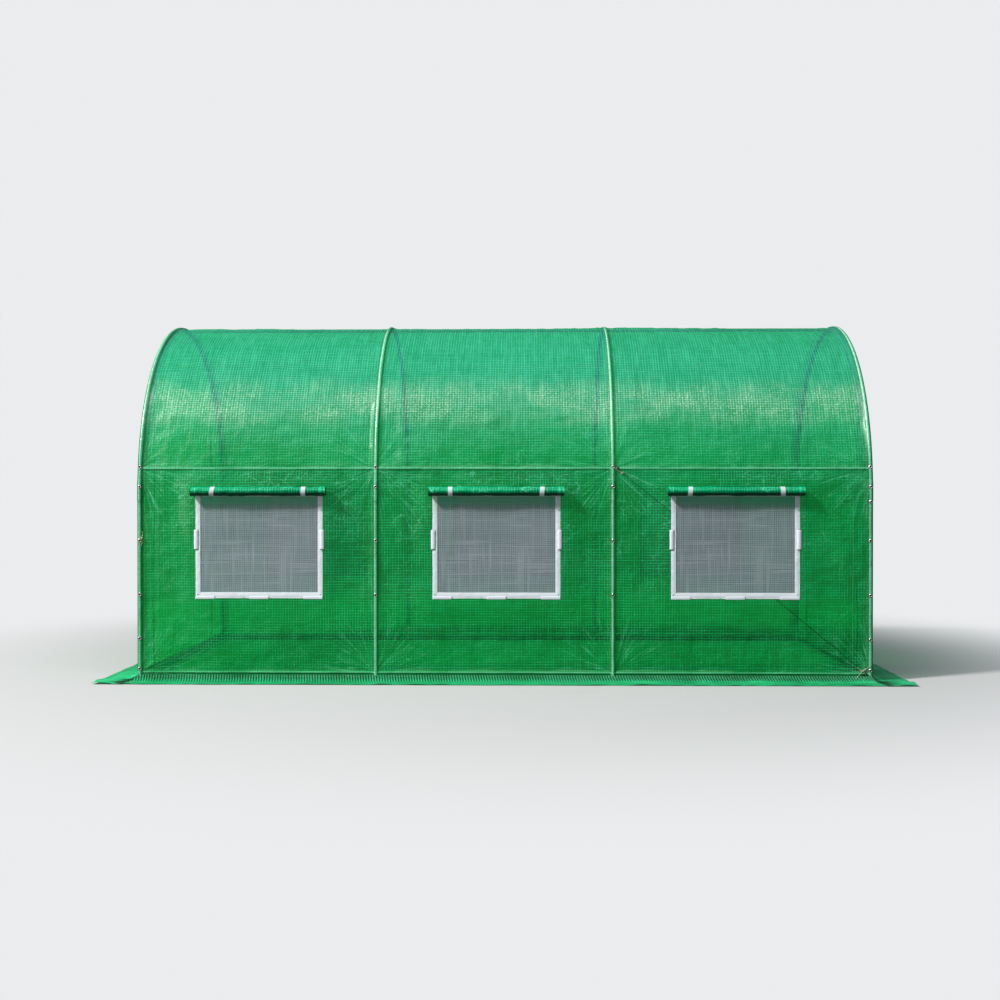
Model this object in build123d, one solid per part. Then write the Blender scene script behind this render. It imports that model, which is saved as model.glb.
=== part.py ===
"""Polytunnel greenhouse: four steel hoops on straight posts, joined by rails, under a green film cover.

Millimetres. X runs along the tunnel, the near wall faces -Y and Z is up from the ground.
The origin is on the ground at the middle of the tunnel.
"""

from build123d import *
from math import cos, degrees, radians, sin, sqrt
import os

# Tunnel, measured between tube centres
tunnel_length = 4000
tunnel_width = 2000
post_height = 1039
hoop_pitch = 1300
hoops = 4

# Steel tubes
tube_diameter = 25
rail_diameter = 19
rail_set_in = 3
sleeve_wall = 2
sleeve_length = 110
base_rail_height = 45
eave_rail_angle = 7.2
saddle_clearance = 0.3
sleeve_clearance = 0.2

# Rope brace in the right bay
rope_diameter = 6
rope_end_inset = 25

# Film cover
film_thickness = 1.5
film_clearance = 0.3
seam_clearance = 0.3

# Skirt laid out on the ground
skirt_width = 180
skirt_end_width = 200
skirt_thickness = 2
skirt_fall = 60
skirt_flare = 30
skirt_gap = 1

# Windows
windows = 3
first_window = 660
window_pitch = 1303
window_width = 700
window_bottom = 450
window_drop = 2
border_side = 27
border_foot = 33
border_thickness = 1.5
border_lap = 12
net_thickness = 1
roll_length = 740
roll_diameter = 51
roll_drop = 2
strap_width = 25
strap_thickness = 1.5
strap_offset = 250
strap_clearance = 0.3

# Hook tape tabs sewn on the window borders
tab_length = 106
tab_width = 24
tab_thickness = 2
tab_overhang = 8
side_tab_bottom = 720
foot_tab_width = 17
foot_tab_overhang = 4

# Doors in the end walls
door_width = 1380
door_corner_gap = 73
zip_width = 24
zip_thickness = 1.5

# Places that follow from the sizes
bow_radius = tunnel_width / 2
tube_radius = tube_diameter / 2
rail_radius = rail_diameter / 2
rail_reach = bow_radius - rail_set_in
left_end = -tunnel_length / 2
right_end = tunnel_length / 2
hoop_places = [left_end + i * hoop_pitch for i in range(hoops - 1)] + [right_end]
bays = list(zip(hoop_places[:-1], hoop_places[1:]))
window_places = [left_end + first_window + i * window_pitch for i in range(windows)]
film_stand_off = tube_radius + sleeve_wall + film_clearance
film_inside = bow_radius + film_stand_off
film_outside = film_inside + film_thickness
film_end_inside = right_end + film_stand_off
film_end_outside = film_end_inside + film_thickness
film_foot = base_rail_height
window_height = post_height - window_drop - window_bottom
border_outside = film_outside + border_thickness
roll_radius = roll_diameter / 2
roll_centre = border_outside + strap_clearance + roll_radius
roll_height = post_height - roll_drop
door_top = post_height + sqrt((film_inside - door_corner_gap) ** 2 - (door_width / 2) ** 2)
eave_rail_reach = rail_reach * cos(radians(eave_rail_angle))
eave_rail_height = post_height + rail_reach * sin(radians(eave_rail_angle))
ridge_rail_height = post_height + rail_reach


def far_side(shape):
    """The same piece on the far wall."""
    return mirror(shape, about=Plane.XZ)


def left_side(shape):
    """The same piece on the left end."""
    return mirror(shape, about=Plane.YZ)


def bent_along_bow(section, angle):
    """Bends a section that stands on the near post's top round to this angle along the bow."""
    bend_axis = Axis((0, 0, post_height), (-1, 0, 0))
    return revolve(Pos(0, -bow_radius, post_height) * section, axis=bend_axis, revolution_arc=angle)


def make_bow(hoop_place):
    """The bent upper part of a hoop."""
    return Pos(hoop_place, 0, 0) * bent_along_bow(Circle(tube_radius), 180)


def make_posts():
    """The straight near posts, from the ground to the foot of each bow."""
    post = extrude(Circle(tube_radius), amount=post_height)
    return [Pos(place, -bow_radius, 0) * post for place in hoop_places]


def make_sleeves():
    """Sleeves that join each near post to its bow. The lower half is straight, the upper half follows the bow."""
    outer_radius = tube_radius + sleeve_wall
    inner_radius = tube_radius + sleeve_clearance
    half_length = sleeve_length / 2
    ring = Circle(outer_radius) - Circle(inner_radius)
    lower = extrude(Pos(0, -bow_radius, post_height - half_length) * ring, amount=half_length)
    upper = bent_along_bow(ring, degrees(half_length / bow_radius))
    return [Pos(place, 0, 0) * (lower + upper) for place in hoop_places]


def rail_between(start, end, reach, height, notch):
    """A rail along X whose ends are cut to saddle the hoops. notch gives the hoop tube to cut away at a place."""
    bar = Plane(origin=(start, -reach, height), z_dir=(1, 0, 0)) * Circle(rail_radius)
    rail = extrude(bar, amount=end - start)
    return rail - notch(start) - notch(end)


def bow_notch(place):
    """What a rail leaves free for a bow."""
    return Pos(place, 0, 0) * bent_along_bow(Circle(tube_radius + saddle_clearance), 180)


def post_notch(place):
    """What a rail leaves free for a near post."""
    return Pos(place, -bow_radius, 0) * extrude(Circle(tube_radius + saddle_clearance), amount=post_height)


def make_eave_rails():
    """Near eave rail, one length in each bay."""
    return [rail_between(a, b, eave_rail_reach, eave_rail_height, bow_notch) for a, b in bays]


def make_ridge_rails():
    """Ridge rail, one length in each bay."""
    return [rail_between(a, b, 0, ridge_rail_height, bow_notch) for a, b in bays]


def make_base_rails():
    """Near base rail, one length in each bay."""
    return [rail_between(a, b, rail_reach, base_rail_height, post_notch) for a, b in bays]


def make_end_base_rail():
    """Base rail across the right end, cut to saddle the corner posts and the side rails beside them."""
    place = right_end - rail_set_in
    bar = Plane(origin=(place, -bow_radius, base_rail_height), z_dir=(0, 1, 0)) * Circle(rail_radius)
    side_bar = Plane(origin=(place - tube_diameter, -rail_reach, base_rail_height), z_dir=(1, 0, 0))
    side_notch = extrude(side_bar * Circle(rail_radius + saddle_clearance), amount=2 * tube_diameter)
    notch = post_notch(right_end) + side_notch
    return extrude(bar, amount=tunnel_width) - notch - far_side(notch)


def make_brace():
    """Taut rope across the right bay, from a loop on the eave rail to a loop on the base rail at the corner."""
    rope_radius = rope_diameter / 2
    loop_radius = rail_radius + saddle_clearance + rope_radius
    top = Vector(hoop_places[-2] + rope_end_inset, -eave_rail_reach, eave_rail_height)
    foot = Vector(right_end - rope_end_inset, -rail_reach, base_rail_height)
    to_inside = Vector(0, loop_radius, 0)
    run_start, run_end = top + to_inside, foot + to_inside
    run = run_end - run_start
    straight = extrude(Plane(origin=run_start, z_dir=run.normalized()) * Circle(rope_radius), amount=run.length)
    loop = Rot(0, 90, 0) * Torus(loop_radius, rope_radius)
    return straight + Pos(*top) * loop + Pos(*foot) * loop


def make_roof():
    """Half round film over the bows."""
    ring = Circle(film_outside) - Circle(film_inside)
    upper = ring - Pos(0, -film_outside) * Rectangle(2 * film_outside, 2 * film_outside)
    across = Plane(origin=(-film_end_outside, 0, post_height), x_dir=(0, 1, 0), z_dir=(1, 0, 0))
    return extrude(across * upper, amount=2 * film_end_outside)


def wall_plane(reach):
    """Upright plane whose first axis is X, whose second is Z and which faces -Y at this reach."""
    return Plane(origin=(0, -reach, 0), x_dir=(1, 0, 0), z_dir=(0, -1, 0))


def upright_rectangle(centre, bottom, width, height):
    """Rectangle in a wall plane, given by its middle along X and its bottom edge."""
    return Pos(centre, bottom + height / 2) * Rectangle(width, height)


def make_near_wall():
    """Straight film wall with the three window openings cut through it."""
    sheet = upright_rectangle(0, film_foot, 2 * film_end_outside, post_height - film_foot)
    for place in window_places:
        sheet -= upright_rectangle(
            place, window_bottom + border_lap, window_width - 2 * border_lap, window_height - 2 * border_lap
        )
    return extrude(wall_plane(film_inside) * sheet, amount=film_thickness)


def make_window_nets():
    """Insect nets, flush with the outside of the film and caught behind the borders."""
    edge = border_lap + seam_clearance
    nets = []
    for place in window_places:
        net = upright_rectangle(place, window_bottom + edge, window_width - 2 * edge, window_height - 2 * edge)
        nets.append(extrude(wall_plane(film_outside - net_thickness) * net, amount=net_thickness))
    return nets


def make_window_borders():
    """White webbing frames sewn round the windows."""
    borders = []
    for place in window_places:
        outer = upright_rectangle(place, window_bottom, window_width, window_height)
        inner = upright_rectangle(
            place,
            window_bottom + border_foot,
            window_width - 2 * border_side,
            window_height - border_foot - border_side,
        )
        borders.append(extrude(wall_plane(film_outside) * (outer - inner), amount=border_thickness))
    return borders


def make_window_tabs():
    """Hook tape tabs that hold a closed flap: one on each side of a window and three along its foot."""
    half_width = window_width / 2
    side_middle = half_width + tab_overhang - tab_width / 2
    foot_middle = half_width - tab_length / 2
    foot_tab_bottom = window_bottom - foot_tab_overhang
    tabs = []
    for place in window_places:
        sides = [
            upright_rectangle(place + side * side_middle, side_tab_bottom, tab_width, tab_length)
            for side in (-1, 1)
        ]
        feet = [
            upright_rectangle(place + offset, foot_tab_bottom, tab_length, foot_tab_width)
            for offset in (-foot_middle, 0, foot_middle)
        ]
        tabs += [extrude(wall_plane(border_outside) * tab, amount=tab_thickness) for tab in sides + feet]
    return tabs


def make_window_rolls():
    """Window flaps rolled up over the top of each window."""
    axis_plane = Plane(origin=(0, -roll_centre, roll_height), z_dir=(1, 0, 0))
    roll = extrude(axis_plane * Circle(roll_radius), amount=roll_length)
    return [Pos(place - roll_length / 2, 0, 0) * roll for place in window_places]


def make_roll_straps():
    """Two straps round each roll, open towards the wall."""
    inner_radius = roll_radius + strap_clearance
    outer_radius = inner_radius + strap_thickness
    depth = roll_centre - border_outside
    legs = Pos(-depth / 2, 0) * (
        Rectangle(depth, 2 * outer_radius) - Rectangle(depth, 2 * inner_radius)
    )
    front = (Circle(outer_radius) - Circle(inner_radius)) - Pos(-outer_radius, 0) * Rectangle(
        2 * outer_radius, 2 * outer_radius
    )
    # Seen along -X, the first axis points out of the wall and the second up
    across = Plane(origin=(strap_width / 2, -roll_centre, roll_height), x_dir=(0, -1, 0), z_dir=(-1, 0, 0))
    strap = extrude(across * (front + legs), amount=strap_width)
    return [
        Pos(place + side * strap_offset, 0, 0) * strap for place in window_places for side in (-1, 1)
    ]


def end_plane(reach):
    """Upright plane on the right end whose first axis is Y and whose second is Z."""
    return Plane(origin=(reach, 0, 0), x_dir=(0, 1, 0), z_dir=(1, 0, 0))


def end_outline():
    """Outline of the end wall, which fits inside the side walls and the roof."""
    half_width = film_inside - seam_clearance
    round_top = Pos(0, post_height) * Circle(half_width)
    straight = upright_rectangle(0, film_foot, 2 * half_width, post_height - film_foot)
    below = upright_rectangle(0, post_height - 2 * half_width, 2 * half_width, 2 * half_width)
    return straight + (round_top - below)


def end_piece(outline):
    """Film piece of the right end wall."""
    return extrude(end_plane(film_end_inside) * outline, amount=film_thickness)


def make_end_arch():
    """End wall above the door."""
    below = upright_rectangle(0, 0, 2 * film_inside, door_top)
    return end_piece(end_outline() - below)


def make_end_near_panel():
    """End wall between the near corner and the door."""
    panel_width = film_inside - door_width / 2
    strip = upright_rectangle(-door_width / 2 - panel_width / 2, 0, panel_width, door_top)
    return end_piece(end_outline() & strip)


def make_door():
    """Door flap, closed by a zip down each side."""
    flap = upright_rectangle(
        0,
        film_foot + seam_clearance,
        door_width - 2 * seam_clearance,
        door_top - film_foot - 2 * seam_clearance,
    )
    return end_piece(flap)


def make_door_zips():
    """Zip tapes over the two upright seams of the door."""
    tape = upright_rectangle(-door_width / 2, film_foot, zip_width, door_top - film_foot)
    near_zip = extrude(end_plane(film_end_outside) * tape, amount=zip_thickness)
    return [near_zip, far_side(near_zip)]


def skirt_profile(width):
    """Section of a skirt: out from the wall, and up. It falls from the base rail and then lies flat."""
    return Polyline(
        (0, film_foot),
        (film_thickness, film_foot),
        (skirt_fall, skirt_thickness),
        (width, skirt_thickness),
        (width, 0),
        (skirt_fall - skirt_thickness, 0),
        close=True,
    )


def make_near_skirt():
    """Skirt along the near wall, a little wider at its outer edge."""
    reach = film_end_outside + skirt_flare
    across = Plane(origin=(reach, -film_inside, 0), x_dir=(0, -1, 0), z_dir=(-1, 0, 0))
    band = extrude(across * make_face(skirt_profile(skirt_width)), amount=2 * reach)
    plan = make_face(
        Polyline(
            (-film_end_outside, -film_inside),
            (film_end_outside, -film_inside),
            (reach, -film_inside - skirt_width),
            (-reach, -film_inside - skirt_width),
            close=True,
        )
    )
    return band & extrude(plan, amount=film_foot)


def make_end_skirt():
    """Skirt along the right end, with flat corners that reach past the side skirts."""
    across = Plane(origin=(film_end_inside, film_inside, 0), x_dir=(1, 0, 0), z_dir=(0, -1, 0))
    band = extrude(across * make_face(skirt_profile(skirt_end_width)), amount=2 * film_inside)
    corner_plan = make_face(
        Polyline(
            (film_end_outside + skirt_gap, -film_inside),
            (film_end_inside + skirt_end_width, -film_inside),
            (film_end_inside + skirt_end_width, -film_inside - skirt_width),
            (film_end_outside + skirt_flare + skirt_gap, -film_inside - skirt_width),
            close=True,
        )
    )
    corner = extrude(corner_plan, amount=skirt_thickness)
    return band + corner + far_side(corner)


def save(node, solids):
    """Writes one sub-part, of one solid or of several that don't touch."""
    export_step(Compound(children=solids), f"parts/{node}.step")


def save_sides(name, near_solids):
    """Writes a near piece and the same piece on the far side."""
    save(f"near_{name}", near_solids)
    save(f"far_{name}", [far_side(solid) for solid in near_solids])


def save_ends(name, right_solids):
    """Writes a right end piece and the same piece on the left end."""
    save(f"right_{name}", right_solids)
    save(f"left_{name}", [left_side(solid) for solid in right_solids])


def main():
    os.makedirs("parts", exist_ok=True)
    for number, place in enumerate(hoop_places, start=1):
        save(f"bow_{number}", [make_bow(place)])
    save_sides("posts", make_posts())
    save_sides("sleeves", make_sleeves())
    save_sides("eave_rail", make_eave_rails())
    save_sides("base_rail", make_base_rails())
    save("ridge_rail", make_ridge_rails())
    save_ends("base_rail", [make_end_base_rail()])
    save("near_brace", [make_brace()])

    save("roof", [make_roof()])
    save_sides("wall", [make_near_wall()])
    save_sides("window_nets", make_window_nets())
    save_sides("window_borders", make_window_borders())
    save_sides("window_tabs", make_window_tabs())
    save_sides("window_rolls", make_window_rolls())
    save_sides("roll_straps", make_roll_straps())

    near_panel = make_end_near_panel()
    save_ends("end_arch", [make_end_arch()])
    save_ends("end_near_panel", [near_panel])
    save_ends("end_far_panel", [far_side(near_panel)])
    save_ends("door", [make_door()])
    save_ends("door_zips", make_door_zips())

    save_sides("skirt", [make_near_skirt()])
    save_ends("skirt", [make_end_skirt()])


main()
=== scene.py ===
# %% [markdown]
# # A garden polytunnel
# Steel hoops stand on straight posts, rails join them, and a green woven film is pulled over the lot.
# The steel comes ready made from the frame. Everything soft is made here, because film shows its
# character only when it dips between the tubes, creases and lets light through.

# %% Load the frame
import math

import bmesh
import bpy
import numpy as np
from mathutils import Matrix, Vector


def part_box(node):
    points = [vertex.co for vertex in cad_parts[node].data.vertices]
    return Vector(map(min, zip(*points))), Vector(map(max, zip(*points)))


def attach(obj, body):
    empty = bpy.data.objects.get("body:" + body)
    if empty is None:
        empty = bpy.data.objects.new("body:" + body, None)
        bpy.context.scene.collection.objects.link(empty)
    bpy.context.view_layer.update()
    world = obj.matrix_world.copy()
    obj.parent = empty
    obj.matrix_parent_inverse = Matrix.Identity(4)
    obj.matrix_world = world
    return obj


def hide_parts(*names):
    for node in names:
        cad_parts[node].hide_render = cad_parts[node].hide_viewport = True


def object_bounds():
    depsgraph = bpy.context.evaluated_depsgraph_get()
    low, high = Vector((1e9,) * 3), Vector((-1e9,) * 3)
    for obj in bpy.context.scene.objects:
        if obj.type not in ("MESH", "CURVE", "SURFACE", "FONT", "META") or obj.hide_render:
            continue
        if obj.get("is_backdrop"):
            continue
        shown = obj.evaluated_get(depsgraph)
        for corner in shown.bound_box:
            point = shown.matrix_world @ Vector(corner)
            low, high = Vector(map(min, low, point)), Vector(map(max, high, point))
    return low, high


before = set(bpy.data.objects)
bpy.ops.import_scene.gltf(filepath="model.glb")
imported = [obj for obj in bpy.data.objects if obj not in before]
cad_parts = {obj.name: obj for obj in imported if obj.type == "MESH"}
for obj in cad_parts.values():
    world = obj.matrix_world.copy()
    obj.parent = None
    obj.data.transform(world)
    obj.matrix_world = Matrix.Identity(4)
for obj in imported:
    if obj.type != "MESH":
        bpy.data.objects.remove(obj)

frame_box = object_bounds()
print("frame box", frame_box)

# %% [markdown]
# ## Sizes read from the steel
# The film has to fit the tubes exactly, so its sizes are read from the tubes and not typed in again.

# %% Read the main sizes
X, Y, Z = 0, 1, 2


def span(node, axis):
    """Lowest and highest value of a node along one axis."""
    low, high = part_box(node)
    return low[axis], high[axis]


hoop_x = np.array([sum(span(f"bow_{i}", X)) / 2 for i in range(1, 5)])
tube_radius = (span("bow_1", X)[1] - span("bow_1", X)[0]) / 2
bow_radius = span("bow_1", Y)[1] - tube_radius
post_top = span("near_posts", Z)[1]
film_foot = span("near_wall", Z)[0]
rail_radius = (span("ridge_rail", Z)[1] - span("ridge_rail", Z)[0]) / 2
rail_crest = span("ridge_rail", Z)[1] - post_top - bow_radius
eave_height = sum(span("near_eave_rail", Z)) / 2
half_length = hoop_x[-1]
wall_height = post_top - film_foot
arch_length = math.pi * bow_radius
eave_angle = math.asin((eave_height - post_top) / bow_radius)
print("hoops at", hoop_x, "bow radius", bow_radius, "post top", post_top)

# %% Read the window places
border_low, border_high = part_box("near_window_borders")
net_low, net_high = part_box("near_window_nets")
net_edge = net_low[X] - border_low[X]
window_width = 0.700
window_half = window_width / 2
window_x = np.linspace(border_low[X] + window_half, border_high[X] - window_half, 3)
window_bottom, window_top = border_low[Z], border_high[Z]
window_middle, window_half_height = (window_top + window_bottom) / 2, (window_top - window_bottom) / 2
net_half, net_bottom, net_top = window_half - net_edge, net_low[Z], net_high[Z]
roll_low, roll_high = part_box("near_window_rolls")
print("windows at", window_x, "from", window_bottom, "to", window_top)

# %% [markdown]
# ## Camera, floor and light
# The camera stands where the photographer stood: just right of the middle, at chest height, and looking a
# touch to the left. The numbers come from fitting the hoops, rails and windows in the picture.

# %% Camera
camera_place = (0.129, -bow_radius - 7.37, 1.035)
camera_turn_left = 1.14
camera_tilt_down = 0.35
camera_lens = 48.45

camera = bpy.data.objects.new("camera", bpy.data.cameras.new("camera"))
bpy.context.scene.collection.objects.link(camera)
camera.location = camera_place
camera.rotation_euler = (math.radians(90 - camera_tilt_down), 0, math.radians(camera_turn_left))
camera.data.lens = camera_lens
camera.data.sensor_width = 36
camera.data.clip_end = 200
bpy.context.scene.camera = camera

# %% [markdown]
# A small class lets a material be written as sums. Each value that comes out of a node is wrapped, and
# plus, minus and times on it add the matching Math node.

# %% Material helpers
class Flow:
    """A value that flows out of a node, with arithmetic that adds Math nodes."""

    def __init__(self, finish, socket):
        self.finish, self.socket = finish, socket

    def math(self, operation, *others):
        return self.finish.math(operation, self, *others)

    def __add__(self, other):
        return self.math("ADD", other)

    def __sub__(self, other):
        return self.math("SUBTRACT", other)

    def __mul__(self, other):
        return self.math("MULTIPLY", other)

    def __truediv__(self, other):
        return self.math("DIVIDE", other)

    def __rsub__(self, other):
        return self.finish.math("SUBTRACT", other, self)

    __radd__, __rmul__ = __add__, __mul__


class Finish:
    """A material with its node tree and one method for adding nodes."""

    def __init__(self, name):
        self.material = bpy.data.materials.new(name)
        self.material.use_nodes = True
        self.tree = self.material.node_tree
        self.tree.nodes.clear()

    def node(self, kind, settings=None, inputs=None, out=0):
        """Adds a node, sets its settings, then fills or links its sockets, and returns one output."""
        made = self.tree.nodes.new(kind)
        for key, value in (settings or {}).items():
            setattr(made, key, value)
        for key, value in (inputs or {}).items():
            socket = made.inputs[key]
            if isinstance(value, Flow):
                self.tree.links.new(value.socket, socket)
            elif socket.type == "RGBA" and len(value) == 3:
                socket.default_value = (*value, 1.0)
            else:
                socket.default_value = value
        return Flow(self, made.outputs[out]) if len(made.outputs) else None

    def math(self, operation, *values):
        return self.node("ShaderNodeMath", {"operation": operation}, dict(enumerate(values)))

    def position(self):
        """Place on the piece in metres, in the object's own frame."""
        return self.node("ShaderNodeTexCoord", out="Object")

    def uv(self):
        """Place on the cloth in metres, before it was hung."""
        return self.node("ShaderNodeUVMap", {"uv_map": "cloth"})

    def axes(self, vector):
        """The three parts of a vector."""
        parts = self.node("ShaderNodeSeparateXYZ", inputs={0: vector}).socket.node
        return [Flow(self, parts.outputs[i]) for i in range(3)]

    def stretched(self, vector, scale):
        """A place made longer or shorter along each axis."""
        settings = {"vector_type": "POINT"}
        return self.node("ShaderNodeMapping", settings, {"Vector": vector, "Scale": scale})

    def noise(self, vector, scale, detail=3.0, roughness=0.5, stretch=(1, 1, 1)):
        """Cloudy value from 0 to 1, stretched along the axes where that is asked."""
        placed = self.stretched(vector, stretch)
        inputs = {"Vector": placed, "Scale": scale, "Detail": detail, "Roughness": roughness}
        return self.node("ShaderNodeTexNoise", inputs=inputs)

    def ramp(self, value, low, high, start=0.0, end=1.0):
        """Smooth step: start below low, end above high."""
        settings = {"interpolation_type": "SMOOTHSTEP", "clamp": True}
        inputs = {"Value": value, "From Min": low, "From Max": high, "To Min": start, "To Max": end}
        return self.node("ShaderNodeMapRange", settings, inputs)

    def blend(self, factor, first, second):
        """Colour that goes from first to second as factor goes from 0 to 1."""
        return self.node("ShaderNodeMix", {"data_type": "RGBA"}, {0: factor, 6: first, 7: second}, out=2)

    def threads(self, place, pitch, width):
        """1 on the middle of each thread and 0 between. place and pitch are metres, width is a share."""
        across = (place / pitch).math("FRACT")
        from_middle = (across - 0.5).math("ABSOLUTE") * 2.0
        return self.ramp(from_middle, 1.0 - width, 1.0 - width * 0.4)

    def nearest(self, value, places):
        """Distance from value to the nearest of some places."""
        gaps = [(value - float(place)).math("ABSOLUTE") for place in places]
        for gap in gaps[1:]:
            gaps[0] = self.math("MINIMUM", gaps[0], gap)
        return gaps[0]

    def cracks(self, vector, scale, width, stretch=(1, 1, 1)):
        """1 on a net of thin crooked lines and 0 between them."""
        inputs = {"Vector": vector, "Scale": 7.0, "Detail": 3.0}
        wobble = self.node("ShaderNodeTexNoise", inputs=inputs, out=1)
        by_wobble = {0: wobble, 1: (0.16, 0.16, 0.16), 2: vector}
        moved = self.node("ShaderNodeVectorMath", {"operation": "MULTIPLY_ADD"}, by_wobble)
        inputs = {"Vector": self.stretched(moved, stretch), "Scale": scale}
        cell = self.node("ShaderNodeTexVoronoi", {"feature": "DISTANCE_TO_EDGE"}, inputs)
        return self.ramp(cell, 0.0, width, 1.0, 0.0)

    def bump(self, height, distance, strength=1.0, normal=None):
        inputs = {"Height": height, "Distance": distance, "Strength": strength}
        if normal is not None:
            inputs["Normal"] = normal
        return self.node("ShaderNodeBump", inputs=inputs)

    def surface(self, inputs):
        """The surface shader with these sockets filled."""
        return self.node("ShaderNodeBsdfPrincipled", inputs=inputs)

    def mix(self, share, first, second):
        """Shader that goes from first to second as share goes from 0 to 1."""
        return self.node("ShaderNodeMixShader", inputs={0: share, 1: first, 2: second})

    def end(self, shader):
        """Sends a shader to the output and returns the finished material."""
        self.node("ShaderNodeOutputMaterial", inputs={"Surface": shader})
        return self.material


def shaded(colour, share):
    """A colour made darker, to share of itself."""
    return tuple(share * c for c in colour)


def dress(piece, material):
    """Gives a piece one material in place of what it has."""
    piece.data.materials.clear()
    piece.data.materials.append(material)


# %% [markdown]
# A studio floor is easy to make, but its far edge shows as a grey line. Here the floor keeps the shadow
# near the tunnel and melts into the backdrop's tone further out.

# %% Floor
backdrop_tone = (0.83, 0.84, 0.85)
floor_tone, bounce_tone = (0.44, 0.445, 0.46), (0.16, 0.165, 0.15)


def make_floor():
    """Large pale sheet under the tunnel that fades into the backdrop. It throws little light back."""
    reach = 60.0
    corners = [(-reach, -reach, 0), (reach, -reach, 0), (reach, reach, 0), (-reach, reach, 0)]
    mesh = bpy.data.meshes.new("floor")
    mesh.from_pydata(corners, [], [(0, 1, 2, 3)])
    floor = bpy.data.objects.new("floor", mesh)
    bpy.context.scene.collection.objects.link(floor)
    finish = Finish("pale floor")
    rays = finish.node("ShaderNodeLightPath").socket.node
    seen = [Flow(finish, rays.outputs[name]) for name in ("Is Camera Ray", "Is Transmission Ray")]
    looked_at = finish.math("MAXIMUM", *seen)
    tone = finish.blend(looked_at, bounce_tone, floor_tone)
    lit = finish.surface({"Base Color": tone, "Roughness": 0.9, "Specular IOR Level": 0.1})
    plain = finish.node("ShaderNodeEmission", inputs={"Color": backdrop_tone, "Strength": 1.0})
    distance = finish.node("ShaderNodeVectorMath", {"operation": "LENGTH"}, {0: finish.position()}, out=1)
    fade = finish.ramp(distance, 2.2, 4.6) * looked_at
    dress(floor, finish.end(finish.mix(fade, lit, plain)))
    floor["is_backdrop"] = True


make_floor()

# %% [markdown]
# One soft lamp does the work of a low sun from the left. It stands where the shadows under the rolled
# window flaps say it was: well to the left and about 40 degrees up.

# %% Lamps
def unit(vectors):
    """Vectors made 1 long."""
    return vectors / np.linalg.norm(vectors, axis=-1, keepdims=True)


def add_softbox(name, place, target, size, watts, colour=(1, 1, 1)):
    """Rectangular lamp at place that faces target. size is its width and its height."""
    lamp = bpy.data.objects.new(name, bpy.data.lights.new(name, "AREA"))
    bpy.context.scene.collection.objects.link(lamp)
    lamp.data.shape = "RECTANGLE"
    lamp.data.size, lamp.data.size_y = size
    lamp.data.energy = watts
    lamp.data.color = colour
    lamp.location = place
    forward = unit(np.array(target, float) - np.array(place, float))
    to_right = unit(np.cross(forward, (0, 0, 1)))
    turned = np.stack([to_right, np.cross(to_right, forward), -forward], axis=1)
    lamp.rotation_euler = Matrix(turned.tolist()).to_euler()


add_softbox("key", (-18.3, -11.7, 18.5), (0, 0, 1.0), (3.3, 3.3), 11900, (1.0, 0.97, 0.90))
add_softbox("overhead", (0.0, -4.6, 8.8), (0, 0, 1.2), (8.0, 2.2), 365, (1.0, 0.99, 0.96))
add_softbox("low strip", (-6.6, -6.8, 1.6), (0, 0, 1.0), (0.6, 2.6), 80, (1.0, 0.98, 0.94))

sky_tone, sky_strength = (0.66, 0.84, 1.0), 0.24
world = bpy.data.worlds.new("studio")
bpy.context.scene.world = world
world.use_nodes = True
sky = world.node_tree.nodes
sky.clear()
studio_light = sky.new("ShaderNodeBackground")
studio_light.inputs["Color"].default_value = (*sky_tone, 1)
studio_light.inputs["Strength"].default_value = sky_strength
seen_light = sky.new("ShaderNodeBackground")
seen_light.inputs["Color"].default_value = (*backdrop_tone, 1)
seen_light.inputs["Strength"].default_value = 1.0
rays = sky.new("ShaderNodeLightPath")
seen_or_through = sky.new("ShaderNodeMath")
seen_or_through.operation = "MAXIMUM"
choose = sky.new("ShaderNodeMixShader")
to_world = sky.new("ShaderNodeOutputWorld")
link = world.node_tree.links.new
link(rays.outputs["Is Camera Ray"], seen_or_through.inputs[0])
link(rays.outputs["Is Transmission Ray"], seen_or_through.inputs[1])
link(seen_or_through.outputs[0], choose.inputs[0])
link(studio_light.outputs[0], choose.inputs[1])
link(seen_light.outputs[0], choose.inputs[2])
link(choose.outputs[0], to_world.inputs["Surface"])
bpy.context.scene.view_settings.view_transform = "Standard"

# %% [markdown]
# ## Pieces from grids
# Every piece is one or more grids of points. A sheet's grid runs along it and across it. A rope, a strap
# or a ring is a profile carried along a path, which is a grid too. The grid's flat coordinates go into a
# UV map in metres, so that a weave follows the cloth.

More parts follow.
